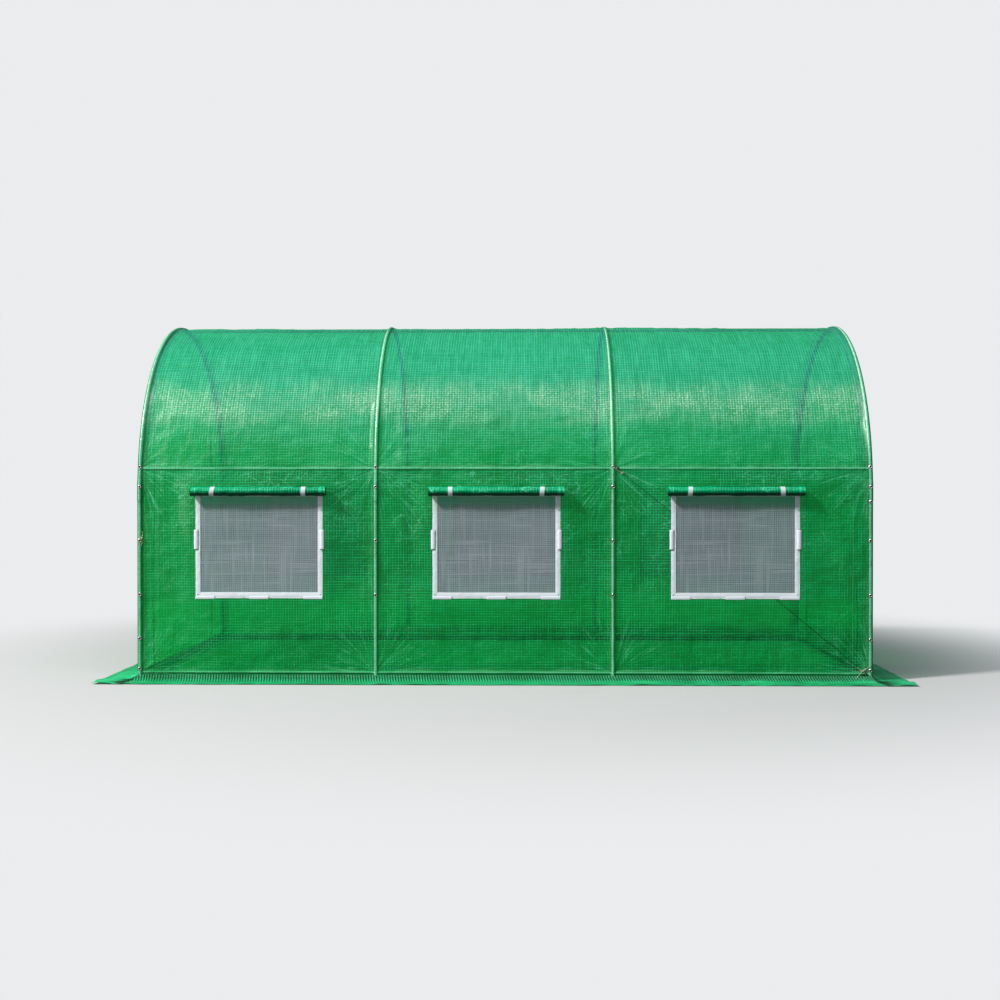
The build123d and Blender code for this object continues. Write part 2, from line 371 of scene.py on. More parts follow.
# %% Grids to one mesh
def make_piece(name, grids, material, body="root", weld=1e-5):
    """Makes one piece from a list of grids, each (points, flat, keep).

    points has a row, a column and three coordinates. Each four neighbours make a face whose front is on
    the side of column step cross row step. flat holds the same grid on the uncut cloth, and keep, which
    may be None, says which faces stay. Points closer together than weld become one.
    """
    all_points, all_flat, all_faces, start = [], [], [], 0
    for points, flat, keep in grids:
        rows, columns = points.shape[:2]
        index = np.arange(rows * columns).reshape(rows, columns) + start
        faces = np.stack([index[:-1, :-1], index[:-1, 1:], index[1:, 1:], index[1:, :-1]], axis=-1)
        all_faces.append(faces.reshape(-1, 4) if keep is None else faces[keep])
        all_points.append(points.reshape(-1, 3))
        all_flat.append(flat.reshape(-1, 2))
        start += rows * columns
    points, flat, faces = map(np.concatenate, (all_points, all_flat, all_faces))
    used, faces = np.unique(faces, return_inverse=True)
    faces = faces.reshape(-1, 4)
    mesh = bpy.data.meshes.new(name)
    mesh.vertices.add(len(used))
    mesh.vertices.foreach_set("co", points[used].astype(np.float32).ravel())
    mesh.loops.add(faces.size)
    mesh.loops.foreach_set("vertex_index", faces.astype(np.int32).ravel())
    mesh.polygons.add(len(faces))
    mesh.polygons.foreach_set("loop_start", np.arange(0, faces.size, 4, dtype=np.int32))
    layer = mesh.uv_layers.new(name="cloth")
    layer.data.foreach_set("uv", flat[used][faces.ravel()].astype(np.float32).ravel())
    mesh.update(calc_edges=True)
    if weld:
        work = bmesh.new()
        work.from_mesh(mesh)
        bmesh.ops.remove_doubles(work, verts=work.verts, dist=weld)
        bmesh.ops.dissolve_degenerate(work, edges=work.edges, dist=1e-7)
        work.to_mesh(mesh)
        work.free()
    mesh.polygons.foreach_set("use_smooth", np.ones(len(mesh.polygons), dtype=bool))
    piece = bpy.data.objects.new(name, mesh)
    bpy.context.scene.collection.objects.link(piece)
    piece.data.materials.append(material)
    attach(piece, body)
    print(name, len(mesh.polygons), "faces")
    return piece


def flipped(grid):
    """The same grid with its front turned to the other side."""
    points, flat, keep = grid
    return points[:, ::-1], flat[:, ::-1], None if keep is None else keep[:, ::-1]


def mirrored(grid, axis):
    """The grid reflected in the plane through the origin across one axis, front still outwards."""
    points, flat, keep = flipped(grid)
    points = points.copy()
    points[..., axis] *= -1
    return points, flat, keep


def spaced(marks, step):
    """Values that hit every mark, with even steps of about this size between marks."""
    marks = np.unique(np.round(marks, 6))
    counts = [max(1, int(round(gap / step))) for gap in np.diff(marks)]
    parts = [np.linspace(a, b, n + 1)[:-1] for a, b, n in zip(marks, marks[1:], counts)]
    return np.concatenate(parts + [marks[-1:]])


def smooth_step(value, low, high):
    """0 below low, 1 above high, and an S curve between."""
    share = np.clip((value - low) / (high - low), 0, 1)
    return share * share * (3 - 2 * share)


# %% Profile along a path
def carry(path, out, profile, turn=None, size=None, closed=True):
    """Carries a profile along a path and returns a grid.

    The profile is a list of (across, out) pairs that goes round anticlockwise, seen from the path's far
    end. out is the direction in which its second number points. turn twists it and size scales it at
    each step. A closed profile gets a flat cap at both ends of the path.
    """
    path = np.asarray(path, float)
    along = unit(np.gradient(path, axis=0))
    out = np.broadcast_to(np.asarray(out, float), path.shape)
    across = unit(np.cross(out, along))
    out = np.cross(along, across)
    profile = np.asarray(profile, float)
    if profile.ndim == 2:
        profile = np.broadcast_to(profile, (len(path), *profile.shape))
    if turn is not None:
        c, s = np.cos(turn)[:, None], np.sin(turn)[:, None]
        a, o = profile[..., 0], profile[..., 1]
        profile = np.stack([a * c - o * s, a * s + o * c], axis=-1)
    if size is not None:
        profile = profile * np.asarray(size, float)[:, None, None]
    points = path[:, None] + profile[..., :1] * across[:, None] + profile[..., 1:] * out[:, None]
    steps = np.linalg.norm(np.diff(path, axis=0), axis=1)
    length = np.concatenate([[0], np.cumsum(steps)])
    girth = np.linalg.norm(np.diff(profile[len(path) // 2], axis=0), axis=1)
    girth = np.concatenate([[0], np.cumsum(girth)])
    flat = np.stack(np.broadcast_arrays(length[:, None], girth[None, :]), axis=-1)
    if closed:
        first, last = points[:1].mean(axis=1, keepdims=True), points[-1:].mean(axis=1, keepdims=True)
        shape = points[:1].shape
        points = np.concatenate([np.broadcast_to(first, shape), points, np.broadcast_to(last, shape)])
        flat = np.concatenate([flat[:1], flat, flat[-1:]])
    return points, flat, None


def round_profile(radius, sides=12, lobes=0, depth=0.0):
    """Circle with lobes: radius times 1 plus depth times the cosine of lobes times the angle."""
    angle = np.linspace(0, 2 * math.pi, sides + 1)
    reach = radius * (1 + depth * np.cos(lobes * angle))
    return np.stack([reach * np.cos(angle), reach * np.sin(angle)], axis=-1)


def strip_profile(width, thickness, sides=16, power=6.0, lift=0.5):
    """Flat strip with rounded edges: a superellipse. lift 0.5 puts its underside on the path."""
    angle = np.linspace(0, 2 * math.pi, sides + 1) + math.pi / sides
    c, s = np.cos(angle), np.sin(angle)
    across = np.sign(c) * np.abs(c) ** (2 / power) * width / 2
    out = np.sign(s) * np.abs(s) ** (2 / power) * thickness / 2
    return np.stack([across, out + lift * thickness], axis=-1)


# %% [markdown]
# ## The film's finish
# The film is two clear green skins over a net of flat threads, 15 mm apart. The threads catch the light,
# the cells between them are darker and let more of the inside show. Light also comes through, so part of
# the shader is translucent. The finish is built up in layers: the weave, the light on it, the creases,
# and last the marks that only the cover, a skirt or a roll has.

# %% Film and its weave
thread_pitch = 0.0147
knot_glint_tone, stroke_highlight_tone, sheen_tone = (0.40, 0.85, 0.60), (0.10, 0.72, 0.52), (0.60, 0.86, 0.70)
crease_highlight_tone, clear_tone = (0.16, 0.78, 0.50), (0.05, 0.80, 0.28)


class Film(Finish):
    """Finish of woven film: the places, noises and threads that its layers share, and what they paint.

    tones and high_tones are the colours of a cell, a thread and the light that passes, low down and
    high up. The high tones are paler, partly from sun bleaching and partly as painted light, for the
    light and reflection of the sky on the roof.
    """

    def __init__(self, name, tones, high_tones):
        super().__init__(name)
        self.tones, self.high_tones = tones, high_tones
        self.cloth, self.place = self.uv(), self.position()
        self.along, self.across, _ = self.axes(self.cloth)
        self.height = self.axes(self.place)[Z]
        # Paler high up: part sun bleaching, part painted light from the sky above.
        self.bleached_and_lit = self.ramp(self.height + self.noise(self.place, 2.0) * 0.25, 1.12, 1.85)
        self.patch = self.noise(self.place, 5.0, detail=2.0)
        self.grain = self.noise(self.cloth, 240.0, detail=1.0)
        self.glints = self.noise(self.cloth, 76.0, detail=2.0)
        sway = self.noise(self.cloth, 3.0, detail=1.0) * 0.006
        self.lines = [self.threads(way + sway, thread_pitch, 0.36) for way in (self.along, self.across)]
        self.either, self.both = self.math("MAXIMUM", *self.lines), self.lines[0] * self.lines[1]

    def paint(self, amount, colour):
        """Lays a colour over the film: all of it where amount is 1."""
        self.colour = self.blend(amount, self.colour, colour)

    def dark_cell(self, share):
        """The cells' colour made darker, to share of itself."""
        return shaded(self.tones[0], share)


def weave(film):
    """Paints cells and threads. Each thread fades and comes back along its length.
    Some knots get a painted glint.
    """
    weights = []
    for line, order, faint, strong in ((film.lines[0], 1, 0.30, 1.15), (film.lines[1], -1, 0.35, 1.30)):
        uneven = film.noise(film.cloth, 2.6, detail=2.0, stretch=(0.6, 4.0)[::order] + (1.0,))
        dashes = film.noise(film.cloth, 34.0, detail=1.0, stretch=(2.0, 0.20)[::order] + (1.0,))
        weights.append(line * film.ramp(uneven + dashes, 0.80, 1.15, faint, strong))
    cell, thread = [film.blend(film.bleached_and_lit, film.tones[i], film.high_tones[i]) for i in (0, 1)]
    deep_cell = film.blend(film.bleached_and_lit, film.dark_cell(0.55), shaded(film.high_tones[0], 0.92))
    cloud = film.noise(film.place, 1.3, detail=2.0)
    film.colour = film.blend(film.ramp(cloud, 0.36, 0.64), cell, deep_cell)
    worn = film.ramp(film.grain + film.patch, 0.7, 1.2, 0.65, 1.0)
    film.paint(film.math("MAXIMUM", *weights) * worn, thread)
    # Painted glints on a few knots.
    film.paint(film.ramp(film.glints, 0.64, 0.70) * film.both * 0.85, knot_glint_tone)


# %% Painted highlights on the threads and creases
bright_height, bright_core, bright_reach = 1.53, 0.03, 0.17


def sun_on_threads(film):
    """Painted highlights: pale strokes high up, and a band of painted sheen, finely dotted with glints."""
    strokes = film.ramp(film.noise(film.cloth, 80.0, detail=1.0, stretch=(1.0, 0.05, 1.0)), 0.50, 0.66)
    from_band = (film.height - bright_height).math("ABSOLUTE")
    painted_sheen = film.ramp(from_band, bright_core, bright_reach, 1.0, 0.0)
    painted_sheen = painted_sheen * film.ramp(film.patch, 0.34, 0.62, 0.15, 1.0)
    # Painted highlight: strokes, and a band of sheen where the light from above would be reflected.
    film.paint(film.bleached_and_lit * strokes * 0.36, stroke_highlight_tone)
    dotted = film.either * film.ramp(film.glints, 0.42, 0.60)
    film.paint(painted_sheen * (0.06 + 0.26 * strokes + 0.80 * dotted), sheen_tone)


def creases_from_crossings(film):
    """Thin rays that fan out from each crossing of a hoop and a rail.

    The rays are the middle values of a noise whose first axis is the angle round the crossing.
    """
    reach = (film.to_hoop * film.to_hoop + film.to_rail * film.to_rail).math("SQRT")
    turn = film.to_rail.math("ARCTAN2", film.to_hoop)
    fan_place = {0: turn * 7.0, 1: reach * 1.2, 2: film.along * 2.0 + film.across}
    fan = film.noise(film.node("ShaderNodeCombineXYZ", inputs=fan_place), 1.0, detail=2.0)
    rays = film.ramp((fan - 0.5).math("ABSOLUTE"), 0.006, 0.024, 1.0, 0.0)
    rays = rays * film.ramp(reach, 0.10, 0.40, 1.0, 0.0)
    return rays * film.ramp(film.grain + film.glints, 0.85, 1.05, 0.25, 1.0)


def crease(film, cover):
    """Painted highlight on crumpled lines in patches, fewer near the foot and on the roof,
    and on rays on the cover.
    """
    broken = film.ramp(film.patch, 0.48, 0.58) * film.ramp(film.grain + film.glints, 0.9, 1.1, 0.2, 1.0)
    broken = broken * film.ramp(film.height, 0.50, 1.00, 0.25, 1.0)
    crumpled = film.cracks(film.cloth, 12.0, 0.036, (1.0, 1.7, 1.0)) * broken * (1.0 - film.bleached_and_lit * 0.85)
    if cover:
        film.to_hoop, film.to_rail = film.nearest(film.along, hoop_x), film.nearest(film.across, rail_s)
        crumpled = film.math("MAXIMUM", crumpled, creases_from_crossings(film))
    # Painted highlight: crease lines are painted pale, where they would catch the light.
    film.paint(crumpled * 0.70, crease_highlight_tone)


# %% Marks of the tubes, with painted highlight and shade
edge_band, hem_line, stitch_pitch = 0.046, 0.094, 0.006
rubbed_tone, flank_highlight_tone = (0.22, 0.90, 0.54), (0.80, 0.96, 0.93)
rope_shadow_tone, stitch_tone = (0.0006, 0.045, 0.018), (0.20, 0.72, 0.42)


def rub_on_tubes(film):
    """Film on a tube is worn pale and painted paler as a highlight. Beside it is painted shade, and each
    hoop gets a painted highlight on its left side and a painted shadow along its right side.
    """
    hoop_crest_line = film.ramp(film.to_hoop, 0.0035, 0.0100, 1.0, 0.0)
    rubbed = film.math("MAXIMUM", hoop_crest_line, film.ramp(film.to_rail, 0.0020, 0.0065, 1.0, 0.0))
    film.rubbed = rubbed
    # Painted shade beside the tubes, where the film falls away from them.
    shade_beside_tubes = film.ramp(film.math("MINIMUM", film.to_hoop, film.to_rail * 1.5), 0.012, 0.030, 1.0, 0.0)
    film.paint(shade_beside_tubes * 0.38, film.dark_cell(0.45))
    knots = film.math("MAXIMUM", film.both, film.math("MINIMUM", *film.lines) * 0.6)
    # The crest line is painted pale: worn film and a painted highlight.
    film.paint(rubbed * film.ramp(film.patch, 0.25, 0.60, 0.42, 0.84), rubbed_tone)
    film.paint(rubbed * (1.0 - knots) * 0.28, shaded(film.tones[1], 0.6))
    # Painted highlight on the left side of each hoop, broken into beads.
    flank_highlight = film.ramp(film.nearest(film.along + 0.0050, hoop_x), 0.0015, 0.0050, 1.0, 0.0)
    flank_highlight = flank_highlight * film.ramp(film.height, 1.10, 1.45, 0.30, 1.0)
    # Painted shadow along the right side of each hoop, cast by its ridge.
    foot = film.ramp(film.nearest(film.along - 0.0145, hoop_x), 0.0020, 0.0075, 1.0, 0.0)
    film.paint(flank_highlight * film.ramp(film.glints + film.grain, 0.88, 1.08, 0.25, 1.0), flank_highlight_tone)
    film.paint(foot * 0.45, film.dark_cell(0.35))
    film.gloss = film.math("MAXIMUM", film.gloss - rubbed * 0.16, 0.14)
    film.solid = film.math("MAXIMUM", film.solid, rubbed * 0.9)
    film.coat = film.coat + rubbed * 0.2


def paint_rope_shadow(film):
    """Painted shadow: a dark line on the film along the brace rope inside the cover."""
    off_line = (film.along - rope_from[0]) * rope_across[0] + (film.across - rope_from[1]) * rope_across[1]
    within = film.math("MINIMUM", film.along - rope_from[0], rope_from[1] - film.across)
    rope_shadow = film.ramp(off_line.math("ABSOLUTE"), 0.0020, 0.0045, 1.0, 0.0) * film.ramp(within, 0.0, 0.004)
    film.paint(rope_shadow * film.ramp(film.patch, 0.3, 0.6, 0.35, 0.7), rope_shadow_tone)


def double_the_ends(film):
    """The cover's end strips are two layers thick and painted darker, partly for the double layer and
    partly as painted shade beside the end hoops. They are sewn down with a row of stitches.
    """
    from_end = half_length - film.along.math("ABSOLUTE")
    doubled_and_shaded = 1.0 - film.ramp(from_end, edge_band - 0.001, edge_band + 0.001)
    # Darker end strips: double film and painted shade.
    film.paint(doubled_and_shaded * (1.0 - film.rubbed) * 0.30, film.dark_cell(0.5))
    in_stitch = ((film.across / stitch_pitch).math("FRACT") - 0.5).math("ABSOLUTE")
    hem = 1.0 - film.ramp((from_end - hem_line).math("ABSOLUTE"), 0.0008, 0.0020)
    film.paint(hem * film.ramp(in_stitch, 0.16, 0.22, 1.0, 0.0) * 0.7, stitch_tone)
    film.solid = film.math("MAXIMUM", film.solid, doubled_and_shaded * 0.85)


# %% Painted shade in a skirt's gathers and under a roll
gather_slant = 0.16
hem_tone = (0.05, 0.62, 0.32)


def gather(film):
    """Slanted ribs a thread apart, with painted shade in the grooves, most of all under the rail,
    and a painted highlight on the crests.
    """
    rib = ((film.along - film.across * gather_slant) / thread_pitch).math("FRACT") * (2 * math.pi)
    crest = rib.math("SINE") * 0.5 + 0.5
    # Painted shade in the grooves and under the rail, and a painted highlight on the crests.
    shade_under_rail = film.ramp(film.across, 0.024, 0.062, 1.0, 0.0)
    groove_shade = film.ramp(crest, 0.0, 0.60, 1.0, 0.0) * film.ramp(film.across, 0.05, 0.12, 1.0, 0.24)
    hollow = film.math("MAXIMUM", groove_shade, shade_under_rail * (1.5 - crest * 0.9))
    film.paint(hollow.math("MINIMUM", 1.0), film.dark_cell(0.10))
    film.paint(crest * film.ramp(film.grain + film.patch, 0.7, 1.3, 0.1, 0.45), film.tones[1])


def shade_below(film, low, high):
    """Film below low is painted dark, as shade on the roll's underside, and above high it is left as it is.
    A pale ring marks each hem.
    """
    painted_underside_shade = film.ramp(film.height, low, high, 1.0, 0.0)
    from_hem = (film.along.math("ABSOLUTE") - (roll_high[X] - window_x[-1] - 0.027)).math("ABSOLUTE")
    film.paint(film.ramp(from_hem, 0.0012, 0.0030, 1.0, 0.0) * 0.8, hem_tone)
    # Painted shade on the roll's underside.
    film.paint(painted_underside_shade * 0.88, film.dark_cell(0.12))
    film.coat = film.coat * (1.0 - painted_underside_shade)


# %% Film relief and shader
def film_relief(film):
    """Bumps from large to small: crinkles, fine creases and the threads."""
    folds = film.bump(film.noise(film.place, 17.0, detail=3.0, roughness=0.6), 0.008, 0.8)
    creases = film.bump(film.noise(film.place, 85.0, detail=2.0, roughness=0.6), 0.0018, 0.7, folds)
    return film.bump(film.either + film.both * 0.5, 0.0008, 0.6, creases)


def film_material(name, tones, high_tones, passes, roughness, coat_weight, mirror=0.35, marks="plain"):
    """Woven film. passes is the share of light that passes a cell straight and the share that it scatters
    forwards. marks is plain, cover, skirt or a pair of heights between which a roll's painted shade fades
    out.
    """
    open_share, glow = passes
    film = Film(name, tones, high_tones)
    weave(film)
    sun_on_threads(film)
    crease(film, marks == "cover")
    hazy = film.ramp((film.height - 0.80).math("ABSOLUTE"), 0.28, 0.46, 0.55, 1.2)
    film.solid = 1.0 - (1.0 - film.either * 0.55) * (open_share * hazy)
    film.gloss = film.ramp(film.grain + film.patch, 0.6, 1.4, roughness - 0.07, roughness + 0.10)
    film.coat = film.ramp(film.patch, 0.35, 0.65, coat_weight * 0.7, coat_weight * 1.3)
    if marks == "cover":
        rub_on_tubes(film)
        paint_rope_shadow(film)
        double_the_ends(film)
    elif marks == "skirt":
        gather(film)
    elif marks != "plain":
        shade_below(film, *marks)
    relief = film_relief(film)
    surface = film.surface({
        "Base Color": film.colour, "Roughness": film.gloss, "Specular IOR Level": mirror,
        "Coat Weight": film.coat, "Coat Roughness": 0.26, "Normal": relief,
    })
    passed_on = film.node("ShaderNodeBsdfTranslucent", inputs={"Color": tones[2], "Normal": relief})
    body = film.mix(glow, surface, passed_on)
    clear = film.node("ShaderNodeBsdfTransparent", inputs={"Color": clear_tone})
    return film.end(film.mix(film.solid, clear, body))


# %% Places on the cover
eave_s = wall_height + eave_angle * bow_radius
ridge_s = wall_height + arch_length / 2
total_s = 2 * wall_height + arch_length
rail_s = np.array([0.0, eave_s, ridge_s, total_s - eave_s, total_s])
brace_low, brace_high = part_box("near_brace")
rope_from, rope_to = (brace_low[X] + 0.003, eave_s), (brace_high[X] - 0.003, 0.0)
rope_run = unit(np.array(rope_to) - np.array(rope_from))
rope_across = (-float(rope_run[1]), float(rope_run[0]))
print("rails at", rail_s.round(3), "up and over the cover")

# %% Films of the cover, the ends, the rolls and the skirts
low_tones = ((0.0004, 0.185, 0.037), (0.005, 0.46, 0.178), (0.008, 0.55, 0.17))
high_tones = ((0.018, 0.315, 0.230), (0.080, 0.57, 0.48))
cover_film = film_material("green film", low_tones, high_tones, (0.48, 0.32), 0.36, 0.34, marks="cover")
end_film = film_material("end film", low_tones, high_tones, (0.44, 0.32), 0.36, 0.32)
roll_tones = ((0.0004, 0.250, 0.092), (0.002, 0.47, 0.225), (0.01, 0.5, 0.15))
roll_shade_heights = (roll_low[Z] + 0.014, roll_low[Z] + 0.032)
roll_film = film_material(
    "rolled green film", roll_tones, roll_tones[:2], (0.0, 0.0), 0.34, 0.16, mirror=0.10, marks=roll_shade_heights
)
skirt_tones = ((0.007, 0.33, 0.098), (0.030, 0.60, 0.27), (0.01, 0.5, 0.17))
skirt_film = film_material(
    "skirt film", skirt_tones, skirt_tones[:2], (0.03, 0.10), 0.40, 0.2, marks="skirt"
)
print("films", [film.name for film in (cover_film, end_film, roll_film, skirt_film)])

# %% [markdown]
# ## Webbing, net, steel and cord
# White webbing is a close weave with a row of stitches along each edge. The insect net is fine threads
# with every fifth one doubled. The tubes are zinc plated, so they get cloudy patches that differ in
# gloss and not much in colour.

# %% Webbing
dirt_tone, thread_tone = (0.52, 0.54, 0.50), (0.90, 0.91, 0.90)


def webbing_material(name, colour, half_width=None):
    """Close weave of ribs and cross threads, 2 mm by 3 mm, with stitches near the edges where asked,
    in a groove with painted shade.
    """
    finish = Finish(name)
    along, across, _ = finish.axes(finish.uv())
    ribs = finish.threads(along, 0.0021, 0.6)
    cross = finish.threads(across, 0.0030, 0.6)
    grain = finish.noise(finish.uv(), 300.0, detail=2.0)
    dirt = finish.noise(finish.position(), 6.0, detail=4.0)
    base = finish.blend(finish.ramp(ribs * cross + grain * 0.5, 0.2, 1.2), shaded(colour, 0.72), colour)
    base = finish.blend(finish.ramp(dirt, 0.50, 0.80) * 0.30, base, dirt_tone)
    height = ribs * 0.5 + cross * 0.5
    if half_width is not None:
        from_middle = (across - half_width).math("ABSOLUTE")
        from_seam = (from_middle - (half_width - 0.0035)).math("ABSOLUTE")
        near_edge = 1.0 - finish.ramp(from_seam, 0.0004, 0.0010)
        dash = finish.ramp(((along / 0.0045).math("FRACT") - 0.5).math("ABSOLUTE"), 0.30, 0.36, 1.0, 0.0)
        stitch = near_edge * dash
        # Painted shade along each sewn groove.
        base = finish.blend(near_edge * 0.35, base, shaded(colour, 0.5))
        base = finish.blend(stitch, base, thread_tone)
        height = height - near_edge * 0.8 + stitch * 1.2
    rough = finish.ramp(grain, 0.3, 0.7, 0.6, 0.8)
    relief = finish.bump(height, 0.0005, 0.7)
    return finish.end(finish.surface({"Base Color": base, "Roughness": rough, "Normal": relief}))


white = (0.80, 0.87, 0.97)
border_webbing = webbing_material("border webbing", white, 0.0135)
tab_webbing = webbing_material("tab webbing", white)
# The straps use a darker copy of the white webbing: painted shade.
strap_webbing = webbing_material("strap webbing", (0.60, 0.69, 0.76))
zip_tape = webbing_material("zip tape", (0.020, 0.105, 0.055))


# %% Insect net
net_tone, net_cloud_tone, net_glow_tone = (0.250, 0.262, 0.335), (0.17, 0.22, 0.22), (0.38, 0.46, 0.45)
dark_thread_tone, pale_thread_tone = (0.062, 0.082, 0.108), (0.42, 0.45, 0.53)
roll_shadow_tone = (0.055, 0.285, 0.205)


def net_material():
    """Fine open mesh. Threads are 2.9 mm apart, every fourth is darker, and the holes are clear.

    Under the roll the net is painted dark teal, a painted shadow of the roll tinted by the green
    light that falls through the film.
    """
    finish = Finish("insect net")
    cloth = finish.uv()
    along, across, _ = finish.axes(cloth)
    place = finish.position()
    height = finish.axes(place)[Z]
    fine_pitch = thread_pitch / 5
    fine = finish.math("MAXIMUM", *[finish.threads(way, fine_pitch, 0.55) for way in (along, across)])
    streaks = finish.noise(cloth, 36.0, detail=2.0, stretch=(2.0, 0.07, 1.0))
    bands = finish.noise(cloth, 36.0, detail=2.0, stretch=(0.07, 2.0, 1.0))
    down = finish.threads(along, fine_pitch * 4, 0.38) * finish.ramp(streaks, 0.27, 0.52)
    level = finish.threads(across, fine_pitch * 4, 0.38) * finish.ramp(bands, 0.27, 0.52)
    coarse = finish.math("MAXIMUM", down, level)
    cloud = finish.noise(place, 4.0, detail=3.0)
    colour = finish.blend(coarse * 0.95, net_tone, dark_thread_tone)
    paler = finish.math("MAXIMUM", finish.ramp(streaks, 0.50, 0.70), finish.ramp(bands, 0.50, 0.70))
    colour = finish.blend(paler * 0.36, colour, pale_thread_tone)
    colour = finish.blend(finish.ramp(cloud, 0.35, 0.65) * 0.20, colour, net_cloud_tone)
    # Painted shadow of the roll, tinted green.
    roll_shadow_on_net = finish.ramp(height, roll_low[Z] - 0.060, roll_low[Z] - 0.030)
    colour = finish.blend(roll_shadow_on_net * 0.75, colour, roll_shadow_tone)
    relief = finish.bump(fine + coarse, 0.0005, 0.5)
    surface = finish.surface({"Base Color": colour, "Roughness": 0.55, "Normal": relief})
    passed_on = finish.node("ShaderNodeBsdfTranslucent", inputs={"Color": net_glow_tone})
    surface = finish.mix(0.15, surface, passed_on)
    clear = finish.node("ShaderNodeBsdfTransparent", inputs={"Color": (1, 1, 1, 1)})
    solid = finish.math("MAXIMUM", 0.80 + fine * 0.17, coarse * 0.98)
    return finish.end(finish.mix(solid, clear, surface))


insect_net = net_material()


# %% Metal
grime_tone = (0.20, 0.19, 0.17)


def metal_material(name, colour, roughness, spangle=0.0, grime=0.2):
    """Zinc or nickel: cells of different gloss, fine drawn lines and a little grime in cloudy patches."""
    finish = Finish(name)
    place = finish.position()
    cells = finish.node("ShaderNodeTexVoronoi", {"feature": "F1"}, {"Vector": place, "Scale": 90.0}, out=1)
    cell_tone = finish.axes(cells)[0]
    clouds = finish.noise(place, 12.0, detail=4.0)
    scratch = finish.noise(place, 500.0, detail=2.0)
    base = finish.blend(cell_tone * spangle, colour, shaded(colour, 0.7))
    base = finish.blend(finish.ramp(clouds, 0.5, 0.8) * grime, base, grime_tone)
    rough = finish.ramp(cell_tone + clouds, 0.5, 1.5, roughness - 0.07, roughness + 0.12)
    relief = finish.bump(scratch, 0.0002, 0.3)
    return finish.end(
        finish.surface({"Base Color": base, "Metallic": 1.0, "Roughness": rough, "Normal": relief})
    )


tube_steel = metal_material("galvanised tube", (0.62, 0.64, 0.66), 0.36, 0.4)
sleeve_steel = metal_material("galvanised sleeve", (0.50, 0.52, 0.55), 0.42, 0.5, 0.35)
nickel = metal_material("nickel", (0.72, 0.71, 0.68), 0.25, 0.1, 0.3)

tubes = [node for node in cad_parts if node.startswith("bow_") or node.endswith(("_posts", "_rail"))]
sleeves = [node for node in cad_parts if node.endswith("_sleeves")]
for nodes, steel in ((tubes, tube_steel), (sleeves, sleeve_steel)):
    for node in nodes:
        dress(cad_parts[node], steel)
print("tubes", tubes, "sleeves", sleeves)


# %% Cord and eyelet
def cord_material(name, dark, light):
    """Twisted cord: slanted strands across its length, with painted shade in the grooves, and loose fibres.
    """
    finish = Finish(name)
    along, round_it, _ = finish.axes(finish.uv())
    strands = finish.threads(along + round_it * 0.9, 0.0042, 0.75)
    fibres = finish.noise(finish.uv(), 900.0, detail=2.0, stretch=(1.0, 4.0, 1.0))
    # Painted shade: the grooves between strands get the dark tone.
    colour = finish.blend(strands * finish.ramp(fibres, 0.3, 0.7, 0.6, 1.0), dark, light)
    rough = finish.ramp(fibres, 0.3, 0.7, 0.65, 0.85)
    relief = finish.bump(strands, 0.0006, 0.7)
    return finish.end(finish.surface({"Base Color": colour, "Roughness": rough, "Normal": relief}))


def eyelet_material():
    """Nickel ring whose hole is a flat disc painted near black, a painted shade. The flat map's first
    number is the distance from the middle.
    """
    finish = Finish("eyelet")
    from_middle, _, _ = finish.axes(finish.uv())
    tarnish = finish.noise(finish.position(), 260.0, detail=3.0)
    metal = finish.blend(finish.ramp(tarnish, 0.4, 0.7), (0.62, 0.64, 0.62), (0.30, 0.31, 0.29))
    # Painted shade: the disc in the hole is near black.
    hole = 1.0 - finish.ramp(from_middle, 0.0052, 0.0058)
    base = finish.blend(hole, metal, (0.006, 0.010, 0.008))
    rough = finish.ramp(tarnish, 0.3, 0.7, 0.22, 0.42)
    return finish.end(finish.surface({"Base Color": base, "Metallic": 1.0 - hole, "Roughness": rough}))


brace_rope = cord_material("brace rope", (0.010, 0.035, 0.022), (0.075, 0.115, 0.075))
tie_cord = cord_material("tie cord", (0.32, 0.30, 0.20), (0.72, 0.70, 0.56))
eyelet_metal = eyelet_material()

# %% [markdown]
# ## How the film hangs on the frame
# Pulled film touches only tubes. Over a hoop it makes a narrow ridge, then it drops to the level of the
# bay within a few centimetres. The whole cover is one function of two numbers: how far along the tunnel,
# and how far up and over it.

# %% Ripples and ridges
def bell(distance, width):
    """1 at no distance, falling off as the exponential of minus the square of distance over width."""
    return np.exp(-((distance / width) ** 2))


def peak(distance, width):
    """1 at no distance, with a sharp top, falling off as the exponential of minus distance over width."""
    return np.exp(-np.abs(distance) / width)


def points_at(x, y, z):
    """Points with these coordinates, which may be arrays of one shape or single numbers."""
    return np.stack(np.broadcast_arrays(x, y, z), axis=-1)


def ripples(u, v, seed, waves, lean=None, spread=0.5):
    """Sum of sine waves of mixed length and direction.

    waves is their height when summed, their number, and the longest and shortest wave. lean is their
    mean direction.
    """
    height, count, longest, shortest = waves
    draw = np.random.default_rng(seed)
    total = np.zeros(np.broadcast(u, v).shape)
    for _ in range(count):
        length = math.exp(draw.uniform(math.log(shortest), math.log(longest)))
        angle = draw.uniform(0, math.pi) if lean is None else draw.normal(lean, spread)
        turn = draw.uniform(0, 2 * math.pi)
        total += np.sin(2 * math.pi * (u * math.cos(angle) + v * math.sin(angle)) / length + turn)
    return height * (total / math.sqrt(count / 2))


def ridge(distance, reach, nose):
    """1 on a tube's crest, rounded over nose, then falling off over reach."""
    return np.exp(-(np.sqrt(distance**2 + nose**2) - nose) / reach)


def smooth_highest(first, second, blend):
    """Higher of two surfaces, with the corner between them rounded over about blend."""
    return (first + second) / 2 + np.sqrt(((first - second) / 2) ** 2 + blend**2)


